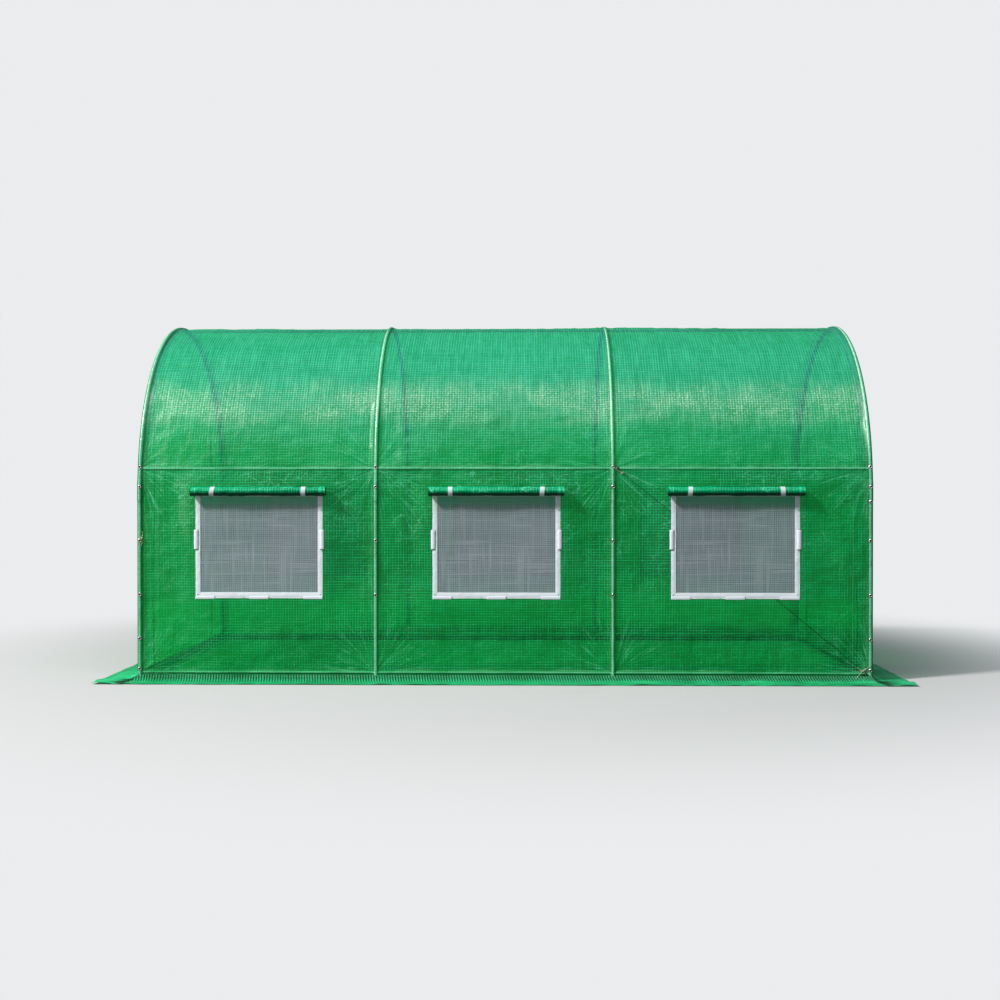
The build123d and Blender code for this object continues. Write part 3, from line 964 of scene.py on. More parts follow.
film_gap = 0.0010
hoop_crest = tube_radius + film_gap
rail_top = rail_crest + film_gap
bay_level = -0.0008
window_level = hoop_crest
corner_arc = hoop_crest * math.pi / 2
sleeve_low, sleeve_high = span("near_sleeves", Z)
sleeve_swell = 0.0024
fold_heights = (0.458, 1.058)
hoop_ridge, rail_ridge = (0.013, 0.0085), (0.011, 0.005)
slack_waves, broad_waves = (0.0022, 6, 2.5, 0.8), (0.0030, 9, 1.3, 0.35)
slanted_waves, crinkle_waves = (0.0010, 10, 0.30, 0.09), (0.00045, 14, 0.09, 0.035)
star_fold, side_fold, packing_line, crease_line = 0.0048, 0.0026, 0.0016, 0.0022

# %% Folds in the cover
def window_frame(u, s):
    """1 on the stiff frames round the windows, 0 a hand's width away, the same on both walls."""
    z = np.minimum(s, total_s - s) + film_foot
    beside = np.min(np.abs(u[..., None] - window_x), axis=-1) - window_half
    above = np.abs(z - window_middle) - window_half_height
    return 1 - smooth_step(np.hypot(np.maximum(beside, 0), np.maximum(above, 0)), 0.008, 0.150)


def star_wrinkles(u, s, seed):
    """Creases that fan out from each crossing of a hoop and a rail and fade with distance."""
    draw = np.random.default_rng(seed)
    total = np.zeros(np.broadcast(u, s).shape)
    for x in hoop_x:
        for node_s in rail_s:
            du, ds = u - x, s - node_s
            far = np.hypot(du, ds)
            angle = np.arctan2(ds, du)
            fan = sum(np.sin(k * angle + draw.uniform(0, 2 * math.pi)) for k in (5, 8, 11, 15)) / 2
            total += fan * np.exp(-far / draw.uniform(0.10, 0.20)) * far / (far + 0.03)
    return total


def crease_lines(u, s, seed, count):
    """Short sharp creases at random places, most of them slanted: a dent with a soft lip beside it."""
    draw = np.random.default_rng(seed)
    total = np.zeros(np.broadcast(u, s).shape)
    for _ in range(count):
        x, y = draw.uniform(-half_length, half_length), draw.uniform(0, total_s)
        lean = draw.choice((0.7, -0.7, 0.25)) + draw.normal(0, 0.25)
        along = (u - x) * math.cos(lean) + (s - y) * math.sin(lean)
        across = (s - y) * math.cos(lean) - (u - x) * math.sin(lean) + 0.1 * along**2
        length, width = draw.uniform(0.03, 0.14), draw.uniform(0.004, 0.009)
        total += draw.uniform(0.4, 1.0) * np.exp(-((along / length) ** 2) - np.abs(across) / width)
    return total


def hoop_side_folds(u, s, seed):
    """Soft folds that run up and over beside each hoop and wander a little."""
    draw = np.random.default_rng(seed)
    total = np.zeros(np.broadcast(u, s).shape)
    for x in hoop_x:
        for side in (-1, 1):
            for _ in range(4):
                away = draw.uniform(0.03, 0.22)
                wander = 0.02 * np.sin(2 * math.pi * s / draw.uniform(0.8, 2.2) + draw.uniform(0, 6.3))
                middle, length = draw.uniform(0, total_s), draw.uniform(0.3, 0.9)
                line = bell((u - x) * side - away - wander, draw.uniform(0.008, 0.02))
                total += draw.choice((-1, 1)) * line * bell(s - middle, length)
    return total


def packing_folds(u, s):
    """Sharp shallow lines left from the way the cover was folded in its box."""
    total = np.zeros(np.broadcast(u, s).shape)
    for height in fold_heights:
        for fold_s in (height - film_foot, total_s - (height - film_foot)):
            line = peak(s - fold_s, 0.006) - 0.5 * peak(s - fold_s, 0.03)
            total += line * (0.7 + 0.3 * np.sin(2 * math.pi * u / 0.9))
    for x in (-1.35, -0.04, 1.28):
        total += 0.5 * peak(u - x, 0.006)
    return total


def hoop_crest_at(s):
    """Film over a hoop: a film's gap above the tube, more on the sleeves, and a touch more at the crown."""
    z = np.minimum(s, total_s - s) + film_foot
    above_foot = smooth_step(z, sleeve_low - 0.008, sleeve_low)
    on_sleeve = above_foot - smooth_step(z, sleeve_high, sleeve_high + 0.008)
    return hoop_crest + sleeve_swell * on_sleeve + 0.002 * bell(s - ridge_s, 0.035)


def over_tubes(to_hoop, to_rail, crest):
    """Lowest height at which the film clears the tubes, at these distances from their centre lines.

    Beside a tube this lies far below the film, so it sets no limit there.
    """
    hoop = np.sqrt(np.maximum(crest**2 - to_hoop**2, 0)) - 0.1 * (to_hoop > crest)
    reach = rail_radius + film_gap
    over_rail = np.sqrt(np.maximum(reach**2 - to_rail**2, 0)) - 0.1 * (to_rail > reach)
    return np.maximum(hoop, rail_crest - rail_radius + over_rail)


def film_height(u, s):
    """Distance of the film outside the hoops' centre line.

    It is the higher of a ridge over each hoop and a ridge over each rail, both of which sink to the
    bay's level. The level comes forward at the window frames. Folds are added where the film is free,
    and fade to nothing on the tubes.
    """
    to_hoop = np.min(np.abs(u[..., None] - hoop_x), axis=-1)
    to_rail = np.min(np.abs(s[..., None] - rail_s), axis=-1)
    frames = window_frame(u, s)
    slack = ripples(u, s, 3, slack_waves)
    level = (bay_level + slack) * (1 - frames) + window_level * frames
    over_hoop = level + (hoop_crest_at(s) - level) * ridge(to_hoop, *hoop_ridge)
    over_rail = level + np.maximum(rail_top - level, 0) * ridge(to_rail, *rail_ridge)
    surface = smooth_highest(over_hoop, over_rail, 0.0006)
    free = (1 - bell(to_hoop, 0.028)) * (1 - 0.92 * bell(to_rail, 0.016)) * (1 - frames)
    broad = ripples(u, s, 11, broad_waves)
    slanted = ripples(u, s, 17, slanted_waves, lean=0.6, spread=0.9)
    crinkled = ripples(u, s, 19, crinkle_waves)
    folds = star_fold * star_wrinkles(u, s, 23) + side_fold * hoop_side_folds(u, s, 29)
    lines = packing_line * packing_folds(u, s) + crease_line * crease_lines(u, s, 31, 150)
    hung = surface + free * (broad + slanted + crinkled + folds + lines)
    return np.maximum(hung, over_tubes(to_hoop, to_rail, hoop_crest_at(s)))


# %% [markdown]
# The same function gives the near wall, the roof and the far wall. Past the end hoops the film turns the
# corner round the tube, so its edge is a quarter circle.

# %% Place a grid on the tunnel
def way_out(s):
    """Direction that points out of the tunnel at places s up and over it."""
    angle = np.clip((s - wall_height) / bow_radius, 0, math.pi)
    return points_at(0.0, -np.cos(angle), np.sin(angle))


def on_tunnel(u, s, above=0.0):
    """Points of the film for places u along the tunnel and s up and over it, lifted off it by above.

    The walls are straight, the roof is the arc, and past an end hoop the film follows the tube round.
    """
    inside_u = np.clip(u, -half_length, half_length)
    turn = np.clip((np.abs(u) - half_length) / hoop_crest, 0, math.pi / 2)
    crest = hoop_crest_at(s)
    height = film_height(inside_u, s) - crest * (1 - np.cos(turn)) + above * np.cos(turn)
    x = inside_u + np.sign(u) * (crest + above) * np.sin(turn)
    rise = np.minimum(s, wall_height) - np.maximum(s - wall_height - arch_length, 0)
    out = way_out(s)
    reach = bow_radius + height
    return points_at(x, reach * out[..., Y], film_foot + rise + reach * out[..., Z])


fine_reach = 0.045
bay_step, hoop_step = 0.0115, 0.0032
wall_step, far_wall_step, roof_step, far_roof_step = 0.0070, 0.016, 0.0130, 0.026


def columns_along(extra):
    """Places along the tunnel: close together at the hoops, wider between, and round both corners."""
    near_hoops = [x + side * fine_reach for x in hoop_x for side in (-1, 1)]
    marks = [m for m in near_hoops if abs(m) < half_length] + [-half_length, half_length] + list(extra)
    coarse = spaced(marks, bay_step)
    ends = [np.clip([x - fine_reach, x + fine_reach], -half_length, half_length) for x in hoop_x]
    fine = np.concatenate([spaced(pair, hoop_step) for pair in ends])
    corner = half_length + corner_arc * np.linspace(0, 1, 8)[1:]
    away = np.min(np.abs(coarse[:, None] - hoop_x), axis=1) > fine_reach - 0.0001
    return np.unique(np.round(np.concatenate([-corner[::-1], coarse[away], fine, corner]), 6))


# %% Cover
column_u = columns_along([x + side * net_half for x in window_x for side in (-1, 1)])
low_s, high_s = net_bottom - film_foot, net_top - film_foot
tuck = -0.014
rail_rows = np.linspace(-0.026, 0.026, 15)
foot_rows = np.linspace(tuck, 0.024, 16)
wall_marks = np.array([0, low_s, high_s, wall_height])
wall_rows = np.unique(np.concatenate([spaced(wall_marks, wall_step), foot_rows]))
far_rows = np.unique(np.concatenate([spaced(total_s - wall_marks, far_wall_step), total_s - foot_rows]))
near_half = spaced([wall_height, eave_s, ridge_s], roof_step)
far_half = spaced([ridge_s, total_s - eave_s, total_s - wall_height], far_roof_step)
at_rails = [place + rail_rows for place in (eave_s, ridge_s, total_s - eave_s)]
roof_rows = np.unique(np.round(np.concatenate([near_half, far_half, *at_rails]), 6))
print("columns", len(column_u), "rows", len(wall_rows), len(roof_rows), len(far_rows))


def cover_piece(name, rows, windows_between=None):
    """Part of the cover between two heights. Faces inside a window are left out."""
    u, s = np.meshgrid(column_u, rows)
    keep = None
    if windows_between is not None:
        middle_u = (column_u[:-1] + column_u[1:]) / 2
        middle_s = (rows[:-1] + rows[1:]) / 2
        in_u = np.min(np.abs(middle_u[:, None] - window_x), axis=1) < net_half
        in_s = (middle_s > windows_between[0]) & (middle_s < windows_between[1])
        keep = ~(in_s[:, None] & in_u[None, :])
    return make_piece(name, [(on_tunnel(u, s), np.stack([u, s], axis=-1), keep)], cover_film, weld=None)


near_wall_film = cover_piece("near_wall_film", wall_rows, (low_s, high_s))
roof_cover = cover_piece("roof_cover", roof_rows)
far_wall_film = cover_piece("far_wall_film", far_rows, (total_s - high_s, total_s - low_s))

# %% [markdown]
# ## Windows
# Each window is a net behind a frame of white webbing. Tape tabs down the sides and along the foot would
# hold the flap shut. The flap itself is rolled up on top and held by two straps.

# %% Wall side helper
def both_walls(name, near_grids, material, node=None):
    """Makes a near piece and its mirror image on the far wall, each in place of its CAD node if any."""
    pair = []
    for side, grids in (("near", near_grids), ("far", [mirrored(g, Y) for g in near_grids])):
        piece = make_piece(f"{side}_{name}", grids, material)
        if node:
            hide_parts(f"{side}_{node}")
        pair.append(piece)
    return pair


# %% Nets
net_belly, net_waves = 0.004, (0.0016, 6, 0.5, 0.12)


def net_grid(middle):
    """Net in a window: level with the frame, with a shallow belly and soft waves."""
    x, z = np.meshgrid(np.linspace(-net_half, net_half, 60), np.linspace(net_bottom, net_top, 50))
    across, up = x / net_half, (z - window_middle) / (net_top - window_middle)
    belly = (1 - across**2) * (1 - up**2)
    out = bow_radius + window_level - 0.0006 - belly * (net_belly + ripples(x, z, 41, net_waves))
    return points_at(x + middle, -out, z), np.stack([x, z], axis=-1), None


window_nets = both_walls("nets", [net_grid(x) for x in window_x], insect_net, "window_nets")

# %% Borders
border_side, border_foot = 0.027, 0.033
border_rise, border_waves = 0.0015, (0.0004, 8, 0.2, 0.03)


def border_grid(middle):
    """Webbing frame: its section goes round the window, mitred at the corners.

    The section starts on the film at the outer edge, rises over a rounded edge, dips along each row of
    stitches and comes down at the inner edge.
    """
    inset = np.array([0, 0, 0.02, 0.07, 0.12, 0.17, 0.5, 0.83, 0.88, 0.93, 0.98, 1, 1])
    rise = np.array([-0.5, 0.35, 0.85, 1, 0.72, 1, 1.08, 1, 0.72, 1, 0.85, 0.35, -0.5]) * border_rise
    side_x, side_z = spaced([-1, 1], 0.02), spaced([-1, 1], 0.024)
    end_x, end_z = np.ones(len(side_z) - 1), np.ones(len(side_x) - 1)
    ring_x = np.concatenate([side_x, end_x, -side_x[1:], -end_x])
    ring_z = np.concatenate([[-1], -end_z, side_z[1:], end_z, -side_z[1:]])
    inset, ring_x = np.meshgrid(inset, ring_x, indexing="ij")
    ring_z = np.broadcast_to(ring_z, ring_x.shape)
    x = ring_x * (window_half - inset * border_side)
    foot = np.where(ring_z < 0, border_foot, border_side)
    z = window_middle + ring_z * (window_half_height - inset * foot)
    rise = np.broadcast_to(rise[:, None], x.shape) + ripples(x, z, 47, border_waves)
    from_mitre = np.abs(x) - window_half + (window_half_height - np.abs(z - window_middle))
    rise = rise - 0.0004 * bell(from_mitre / border_side, 0.08)
    points = points_at(x + middle, -(bow_radius + window_level + rise), z)
    length = np.where(np.abs(ring_x) >= 1, z, x)
    flat = np.stack([length, inset * border_side], axis=-1)
    return points, flat, None


border_grids = [flipped(border_grid(x)) for x in window_x]
window_borders = both_walls("borders", border_grids, border_webbing, "window_borders")

# %% Tabs
tab_length, tab_width, foot_tab_width = 0.106, 0.024, 0.017
side_tab_bottom = span("near_window_tabs", Z)[1] - tab_length
border_face = bow_radius + window_level + border_rise


def tab_grid(start, step, width, rise, lift):
    """Folded tape: a crisp strip from start along step, whose middle bows up off the border by lift."""
    path = np.array(start) + np.array(step) * np.linspace(0, 1, 26)[:, None]
    face = np.linspace(1, -1, 9)
    across = width / 2 * np.concatenate([face, [-1, -1], -face, [1, 1]])
    bow = lift * (1 - (2 * across / width) ** 2)
    out = rise * np.concatenate([0 * face + 1, [0.6, 0.3], 0 * face, [0.3, 0.6]])
    profile = np.stack([across, out + bow], axis=-1)
    return carry(path, (0, -1, 0), np.concatenate([profile, profile[:1]]))


def window_tabs_at(middle):
    """One tab on each side of a window and three along its foot."""
    side_x = window_half + 0.008 - tab_width / 2
    foot_x = window_half - tab_length / 2
    foot_z = window_bottom - 0.004 + foot_tab_width / 2
    side_starts = [(middle + s * side_x, -border_face, side_tab_bottom) for s in (-1, 1)]
    foot_starts = [(middle + x + tab_length / 2, -border_face, foot_z) for x in (-foot_x, 0, foot_x)]
    sides = [tab_grid(start, (0, 0, tab_length), tab_width, 0.0022, 0.0040) for start in side_starts]
    feet = [tab_grid(start, (-tab_length, 0, 0), foot_tab_width, 0.0016, 0.0010) for start in foot_starts]
    return sides + feet


tab_grids = [g for x in window_x for g in window_tabs_at(x)]
window_tabs = both_walls("tabs", tab_grids, tab_webbing, "window_tabs")

# %% [markdown]
# A rolled flap is a spiral of film. Its girth is drawn in by the straps and swells between them, its skin
# shows the threads as ribs, and its ends show the turns, not quite level.

# %% Rolls
roll_radius = (roll_high[Z] - roll_low[Z]) / 2
roll_height = (roll_high[Z] + roll_low[Z]) / 2
roll_out = -(roll_low[Y] + roll_high[Y]) / 2
roll_length = 2 * (roll_high[X] - window_x[-1])
strap_offset = 0.250
layer, seam_angle = 0.0032, 2.1
skin_radius = roll_radius - 0.0002
waist_depth, rib_height, twist_height, hem_step = 0.0013, 0.00013, 0.0006, 0.0004
roll_slack = (0.0008, 8, 0.30, 0.05)


def roll_skin(middle, seed):
    """Skin of a roll: a circle that grows by one layer a turn, ribbed by the threads.

    The radius is the roll's own, less a waist at each strap, plus a swell between, ribs 7 mm apart along
    it and a few slack folds.
    """
    half = roll_length / 2
    x = spaced([-half, 0.02 - half, half - 0.02, half], 0.0037)
    angle = np.linspace(0, 2 * math.pi, 29)
    x, angle = np.meshgrid(x, angle, indexing="ij")
    from_strap = np.minimum(np.abs(x - strap_offset), np.abs(x + strap_offset))
    waist = waist_depth * bell(from_strap, 0.022)
    ribs = rib_height * np.cos(math.pi * np.arange(len(x)))[:, None]
    free = 1 - np.exp(-((from_strap / 0.030) ** 4))
    slack = free * ripples(x, angle * roll_radius, seed, roll_slack)
    twist = twist_height * free * np.sin(angle * 3 + x * 14 + seed)
    hem = hem_step * smooth_step(half - np.abs(x), 0.017, 0.019)
    step = layer * 0.5 * (angle / (2 * math.pi) - 0.5)
    radius = skin_radius - waist + ribs + slack + twist + step - hem
    turn = angle + seam_angle
    points = points_at(x + middle, -(roll_out + radius * np.cos(turn)), roll_height + radius * np.sin(turn))
    return points, np.stack([x, angle * roll_radius], axis=-1), None


def roll_end(middle, side, skin_edge):
    """End of a roll: turns of film around a hollow middle, each turn's edge a little proud or sunk."""
    share = np.linspace(1, 0, 26)[:, None]
    centre = np.array([middle + side * roll_length / 2, -roll_out, roll_height])
    spoke = skin_edge - centre
    angle = np.arctan2(spoke[:, Z], spoke[:, Y])
    radius = share * np.hypot(spoke[:, Y], spoke[:, Z])
    turns = radius / layer - angle / (2 * math.pi)
    proud = 0.0016 * (np.abs((turns % 1) - 0.5) * 2 - 0.5) * smooth_step(share, 0.02, 0.2) * (share < 0.99)
    hollow = 0.016 * (1 - smooth_step(radius, 0.003, 0.008))
    points = centre + points_at(0 * radius, radius * np.cos(angle), radius * np.sin(angle))
    points[..., X] += side * (proud - hollow)
    flat = np.stack([radius, np.broadcast_to(angle * roll_radius, radius.shape)], axis=-1)
    return points, flat, None


def roll_grids(middle, seed):
    """Skin and both ends of one roll."""
    skin = roll_skin(middle, seed)
    ends = [roll_end(middle, -1, skin[0][0]), flipped(roll_end(middle, 1, skin[0][-1]))]
    return [flipped(skin)] + [flipped(e) for e in ends]


rolled = [g for i, x in enumerate(window_x) for g in roll_grids(x, 53 + i)]
both_walls("rolls", rolled, roll_film, "window_rolls")

# %% Straps round the rolls
strap_width, strap_thickness = 0.025, 0.0013


def strap_grid(x, lean):
    """Strap: from the wall under the roll, round its front and back to the wall above it."""
    wall = bow_radius + window_level + border_rise
    turn = np.linspace(-math.pi / 2, math.pi / 2, 25)
    round_y, round_z = roll_out + skin_radius * np.cos(turn), skin_radius * np.sin(turn)
    straight = np.linspace(wall, roll_out, 8)[:-1]
    leg_z = np.full(len(straight), skin_radius)
    out = np.concatenate([straight, round_y, straight[::-1]])
    up = np.concatenate([-leg_z, round_z, leg_z])
    path = points_at(x + lean * up / skin_radius, -out, roll_height + up)
    forward = np.gradient(path, axis=0)
    facing = np.cross(np.tile((1.0, 0, 0), (len(path), 1)), forward)
    return carry(path, unit(facing), strip_profile(strap_width, strap_thickness, lift=0.0))


straps = [
    strap_grid(x + side * strap_offset, lean)
    for x, leans in zip(window_x, ((0.004, 0.001), (0.0, 0.002), (0.003, -0.001)))
    for side, lean in zip((-1, 1), leans)
]
roll_straps = both_walls("straps", straps, strap_webbing, "roll_straps")

# %% [markdown]
# ## End walls
# An end wall is flat film sewn into the end hoop, with a door that two zips close. It is pulled over the
# hoop at its edge and over the rail at its foot, and hangs slack between.

# %% End film
zip_width = 0.024
door_half = span("right_door_zips", Y)[1] - zip_width / 2
door_top = span("right_door_zips", Z)[1]
end_level, door_dip, pucker_depth, fold_line = 0.0060, 0.0035, 0.0016, 0.0014
end_hoop_ridge, end_foot_ridge = (0.014, 0.0085), (0.016, 0.007)
end_slack, end_broad, end_small = (0.0015, 5, 1.6, 0.6), (0.0028, 7, 0.9, 0.3), (0.0007, 12, 0.16, 0.05)
hanging_waves = (0.0034, 9, 0.55, 0.16)


def end_height(y, z, seed):
    """Distance of an end wall's film outside the end hoop's centre plane.

    It is the hoop's crest at the outline and falls to the end wall's level. Added are folds that hang
    from the arch, short puckers beside the zips and a dip over the door.
    """
    from_edge = bow_radius - np.where(z > post_top, np.hypot(y, z - post_top), np.abs(y))
    from_foot = z - film_foot
    from_zip = np.abs(np.abs(y) - door_half)
    on_door = 1 - smooth_step(np.abs(y), door_half - 0.12, door_half)
    level = end_level + ripples(y, z, seed, end_slack)
    near_tube = np.hypot(y, z - post_top) > 0.95 * bow_radius
    crest = hoop_crest_at(np.where(near_tube, z - film_foot, ridge_s - 0.1))
    surface = level + (crest - level) * ridge(np.maximum(from_edge, 0), *end_hoop_ridge)
    on_foot = level + (rail_top - level) * ridge(from_foot, *end_foot_ridge)
    surface = smooth_highest(surface, on_foot, 0.0005)
    free = (1 - bell(from_edge, 0.05)) * (1 - 0.97 * bell(from_foot, 0.035))
    hanging = ripples(y, z * 0.25, seed + 1, hanging_waves, lean=0.0, spread=0.22)
    broad = ripples(y, z, seed + 2, end_broad)
    small = ripples(y, z, seed + 3, end_small)
    pucker = pucker_depth * np.sin(2 * math.pi * z / 0.037 + 2.0 * np.sin(z * 9)) * peak(from_zip, 0.030)
    lines = fold_line * (peak(z - fold_heights[1], 0.006) + peak(y, 0.006))
    hung = surface + free * (hanging + broad + small + lines - door_dip * on_door) + pucker * free
    return np.maximum(hung, over_tubes(np.maximum(from_edge, 0), np.abs(from_foot), crest))


def end_grid(y, z, side, seed):
    """Grid on an end wall. side is -1 for the left end and 1 for the right one."""
    x = side * (half_length + end_height(y, z, seed))
    grid = (points_at(x, y, z), np.stack([y, z], axis=-1), None)
    return grid if side > 0 else flipped(grid)


def arch_top(y):
    """Height of the arch's outline above the place y."""
    return post_top + np.sqrt(np.maximum(bow_radius**2 - y**2, 0))


def rows_between(y, low, high, step):
    """Grid of y and z whose rows go evenly from low to high, each of which may change along y."""
    low, high = np.broadcast_to(low, y.shape), np.broadcast_to(high, y.shape)
    share = np.linspace(0, 1, int(np.max(high - low) / step) + 2)[:, None]
    return np.broadcast_to(y, (len(share), len(y))), low + (high - low) * share


panel_y = -bow_radius * np.cos(np.linspace(0, math.acos(door_half / bow_radius), 56))
door_y = spaced([-door_half, door_half], 0.0145)
door_height = door_top - film_foot
end_area = 2 * bow_radius * wall_height + math.pi * bow_radius**2 / 2 - 2 * door_half * door_height
ends = ((-1, "left", 70), (1, "right", 72))
for side, name, seed in ends:
    foot = film_foot + tuck
    grids = [rows_between(y, foot, arch_top(y), 0.014) for y in (panel_y, -panel_y[::-1])]
    grids.append(rows_between(door_y, door_top, arch_top(door_y), 0.014))
    wall = make_piece(f"{name}_end_film", [end_grid(*grid, side, seed) for grid in grids], end_film)
    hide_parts(f"{name}_end_arch", f"{name}_end_near_panel", f"{name}_end_far_panel")
    door = end_grid(*rows_between(door_y, foot, door_top, 0.0135), side, seed)
    flap = make_piece(f"{name}_door_film", [door], end_film)
    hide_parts(f"{name}_door")
    wall_size = (2 * bow_radius, wall_height + bow_radius)

# %% Piping and zips
tooth_pitch, slider_height = 0.006, 0.135
tape_lift, tooth_lift, slider_lift = 0.0010, 0.0020, 0.0022


def end_seam(side):
    """Bound seam where the end film is sewn to the cover: a thin cord round the end's outline."""
    up = np.linspace(film_foot, post_top, 90)[:-1]
    angle = np.linspace(0, math.pi, 260)
    post = np.full(len(up), bow_radius)
    y = np.concatenate([-post, -bow_radius * np.cos(angle), post])
    z = np.concatenate([up, post_top + bow_radius * np.sin(angle), up[::-1]])
    path = points_at(side * (half_length + hoop_crest - 0.0006), y, z)
    return carry(path, (side, 0, 0), round_profile(0.0024, 8))


def zip_tape_grid(side, y0, seed):
    """Tape of a zip: a strip that follows the film, thinner at its edges and dipped at the teeth."""
    z = spaced([film_foot, door_top], 0.008)
    w = np.linspace(-1, 1, 13)
    z, w = np.meshgrid(z, w, indexing="ij")
    y = y0 + w * zip_width / 2
    lift = tape_lift + 0.0006 * (1 - w**8) - 0.0004 * bell(w, 0.3)
    x = side * (half_length + end_height(y, z, seed) + lift)
    grid = (points_at(x, y, z), np.stack([z, (w + 1) * zip_width / 2], axis=-1), None)
    return flipped(grid) if side > 0 else grid


def zip_teeth_grid(side, y0, seed):
    """Coil of a zip: a flattened tube whose girth goes in and out once for each tooth."""
    z = np.arange(film_foot + 0.004, door_top - 0.004, 0.002)
    x = side * (half_length + end_height(np.full_like(z, y0), z, seed) + tooth_lift)
    profile = round_profile(0.0026, 6) * (1.0, 0.62)
    size = 1 + 0.30 * np.cos(2 * math.pi * z / tooth_pitch)
    return carry(points_at(x, y0, z), (side, 0, 0), profile, size=size)


def zip_slider_grids(side, y0, z0, seed):
    """Slider with a pull: a rounded body on the teeth and a flat tongue that hangs from it."""
    film_out = float(end_height(np.array([y0]), np.array([z0]), seed)[0])
    x0 = side * (half_length + film_out + slider_lift)
    outwards = (side, 0, 0)
    z = np.linspace(-0.009, 0.009, 12)
    body = strip_profile(0.011, 0.006, 16, 4.0, 0.2)
    body = carry(points_at(x0, y0, z0 + z), outwards, body, size=1 - 0.35 * np.abs(z / 0.009) ** 3)
    drop = np.linspace(0, 1, 14)
    reach = 0.0058 + 0.0015 * np.sin(drop * math.pi) - 0.0035 * drop**2
    pull = strip_profile(0.008, 0.0016, 14, 4.0, 0.0)
    path = points_at(x0 + side * reach, y0, z0 + 0.004 - 0.034 * drop)
    return [body, carry(path, outwards, pull, size=0.7 + 0.3 * np.sin(drop * math.pi * 0.8))]


for side, name, seed in ends:
    make_piece(f"{name}_end_seam", [end_seam(side)], end_film)
    zips = (-door_half, door_half)
    tapes = make_piece(f"{name}_zip_tapes", [zip_tape_grid(side, y, seed) for y in zips], zip_tape)
    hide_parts(f"{name}_door_zips")
    teeth = make_piece(f"{name}_zip_teeth", [zip_teeth_grid(side, y, seed) for y in zips], nickel)
    sliders = [g for y in zips for g in zip_slider_grids(side, y, slider_height, seed)]
    for piece in (tapes, teeth, make_piece(f"{name}_zip_sliders", sliders, nickel)):
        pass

# %% [markdown]
# ## Skirts
# The cover's foot is gathered onto the base rail and spread on the ground, so it falls steeply, then lies
# flat with fine slanted ribs. In use it is covered with earth, which holds the tunnel down.

# %% Skirts
skirt_fall, skirt_flare = 0.060, 0.030
skirt_width = -span("near_skirt", Y)[0] - (bow_radius + rail_top)
skirt_end_width = span("right_skirt", X)[1] - (half_length + rail_top)
skirt_floor = 0.0016
gather_deep, gather_loss = 0.0056, 0.0046
uneven_waves, laid_waves = (0.40, 6, 0.5, 0.08), (0.0026, 8, 0.60, 0.12)
edge_wander, side_edge_waves, end_edge_waves = 0.010, (1.0, 7, 0.7, 0.10), (1.0, 7, 0.5, 0.08)


def skirt_shape(out, width, place, seed):
    """Height of a skirt and how far it stands off, at a distance out from the wall.

    From under the rail it falls in a curve and lies just off the ground. Close gathers run
    slanting out: deep under the rail, shallow at the outer edge. Wide low waves lift that edge a little.
    """
    fall = np.clip(1 - out / skirt_fall, 0, 1) ** 1.5 * (film_foot + tuck - skirt_floor)
    slant = place - gather_slant * out
    uneven = 1 + ripples(place, 0.3 * out, seed, uneven_waves)
    deep = gather_deep - gather_loss * smooth_step(out, 0.030, width)
    gather = deep * uneven * (0.5 + 0.5 * np.sin(2 * math.pi * slant / thread_pitch))
    steep = 1 - smooth_step(out, 0.0, 0.030)
    waves = np.abs(ripples(place, out * 0.6, seed + 1, laid_waves))
    waves = waves * smooth_step(out, 0.03, width)
    return fall + skirt_floor + gather * (1 - 0.8 * steep) + waves, gather * steep * 1.6


def rows_out(width):
    """Distances out from the wall: close together where the skirt falls, wider where it lies."""
    return np.unique(np.concatenate([np.linspace(0, 0.07, 12), np.linspace(0.07, width, 9)]))


def side_skirt_grid():
    """Skirt along the near wall. It widens towards its outer edge by the flare at each end."""
    along = spaced([-1, 1], 0.0015)
    out, along = np.meshgrid(rows_out(skirt_width), along, indexing="ij")
    x = along * (half_length + hoop_crest + skirt_flare * out / skirt_width)
    edge = out * (1 + edge_wander * (ripples(x, 0 * x, 83, side_edge_waves) - 1))
    z, off = skirt_shape(out, skirt_width, x, 89)
    points = points_at(x, -(bow_radius + rail_top - 0.003 + edge + off), z)
    return flipped((points, np.stack([x, out], axis=-1), None))


def end_skirt_grid(side):
    """Skirt along an end wall. Past the corners its inner edge comes down and it lies on the ground."""
    reach = bow_radius + rail_top + skirt_width
    y = spaced([-reach, -bow_radius, bow_radius, reach], 0.0036)
    share, y = np.meshgrid(rows_out(skirt_end_width) / skirt_end_width, y, indexing="ij")
    past = np.maximum(np.abs(y) - bow_radius - 0.004, 0)
    on_wall = 1 - smooth_step(np.abs(y), bow_radius - 0.020, bow_radius + 0.022)
    start = half_length + rail_top + 0.0085 * (1 - on_wall) + past * skirt_flare / skirt_width
    out = share * (half_length + rail_top + skirt_end_width - start)
    lying, _ = skirt_shape(0.06 + out * 0.7, skirt_end_width, y, 97 + side)
    falling, off = skirt_shape(out, skirt_end_width, y, 97 + side)
    z = lying + (falling - lying) * on_wall
    folds = 0.006 * np.abs(np.sin(2 * math.pi * (y * 4.2 + out * 2.2))) * smooth_step(past, 0.01, 0.10)
    edge = out * (1 + edge_wander * (ripples(y, 0 * y, 101 + side, end_edge_waves) - 1))
    x = side * (start - 0.003 + off * on_wall + edge)
    grid = (points_at(x, y, z + folds), np.stack([y, out], axis=-1), None)
    return grid if side < 0 else flipped(grid)


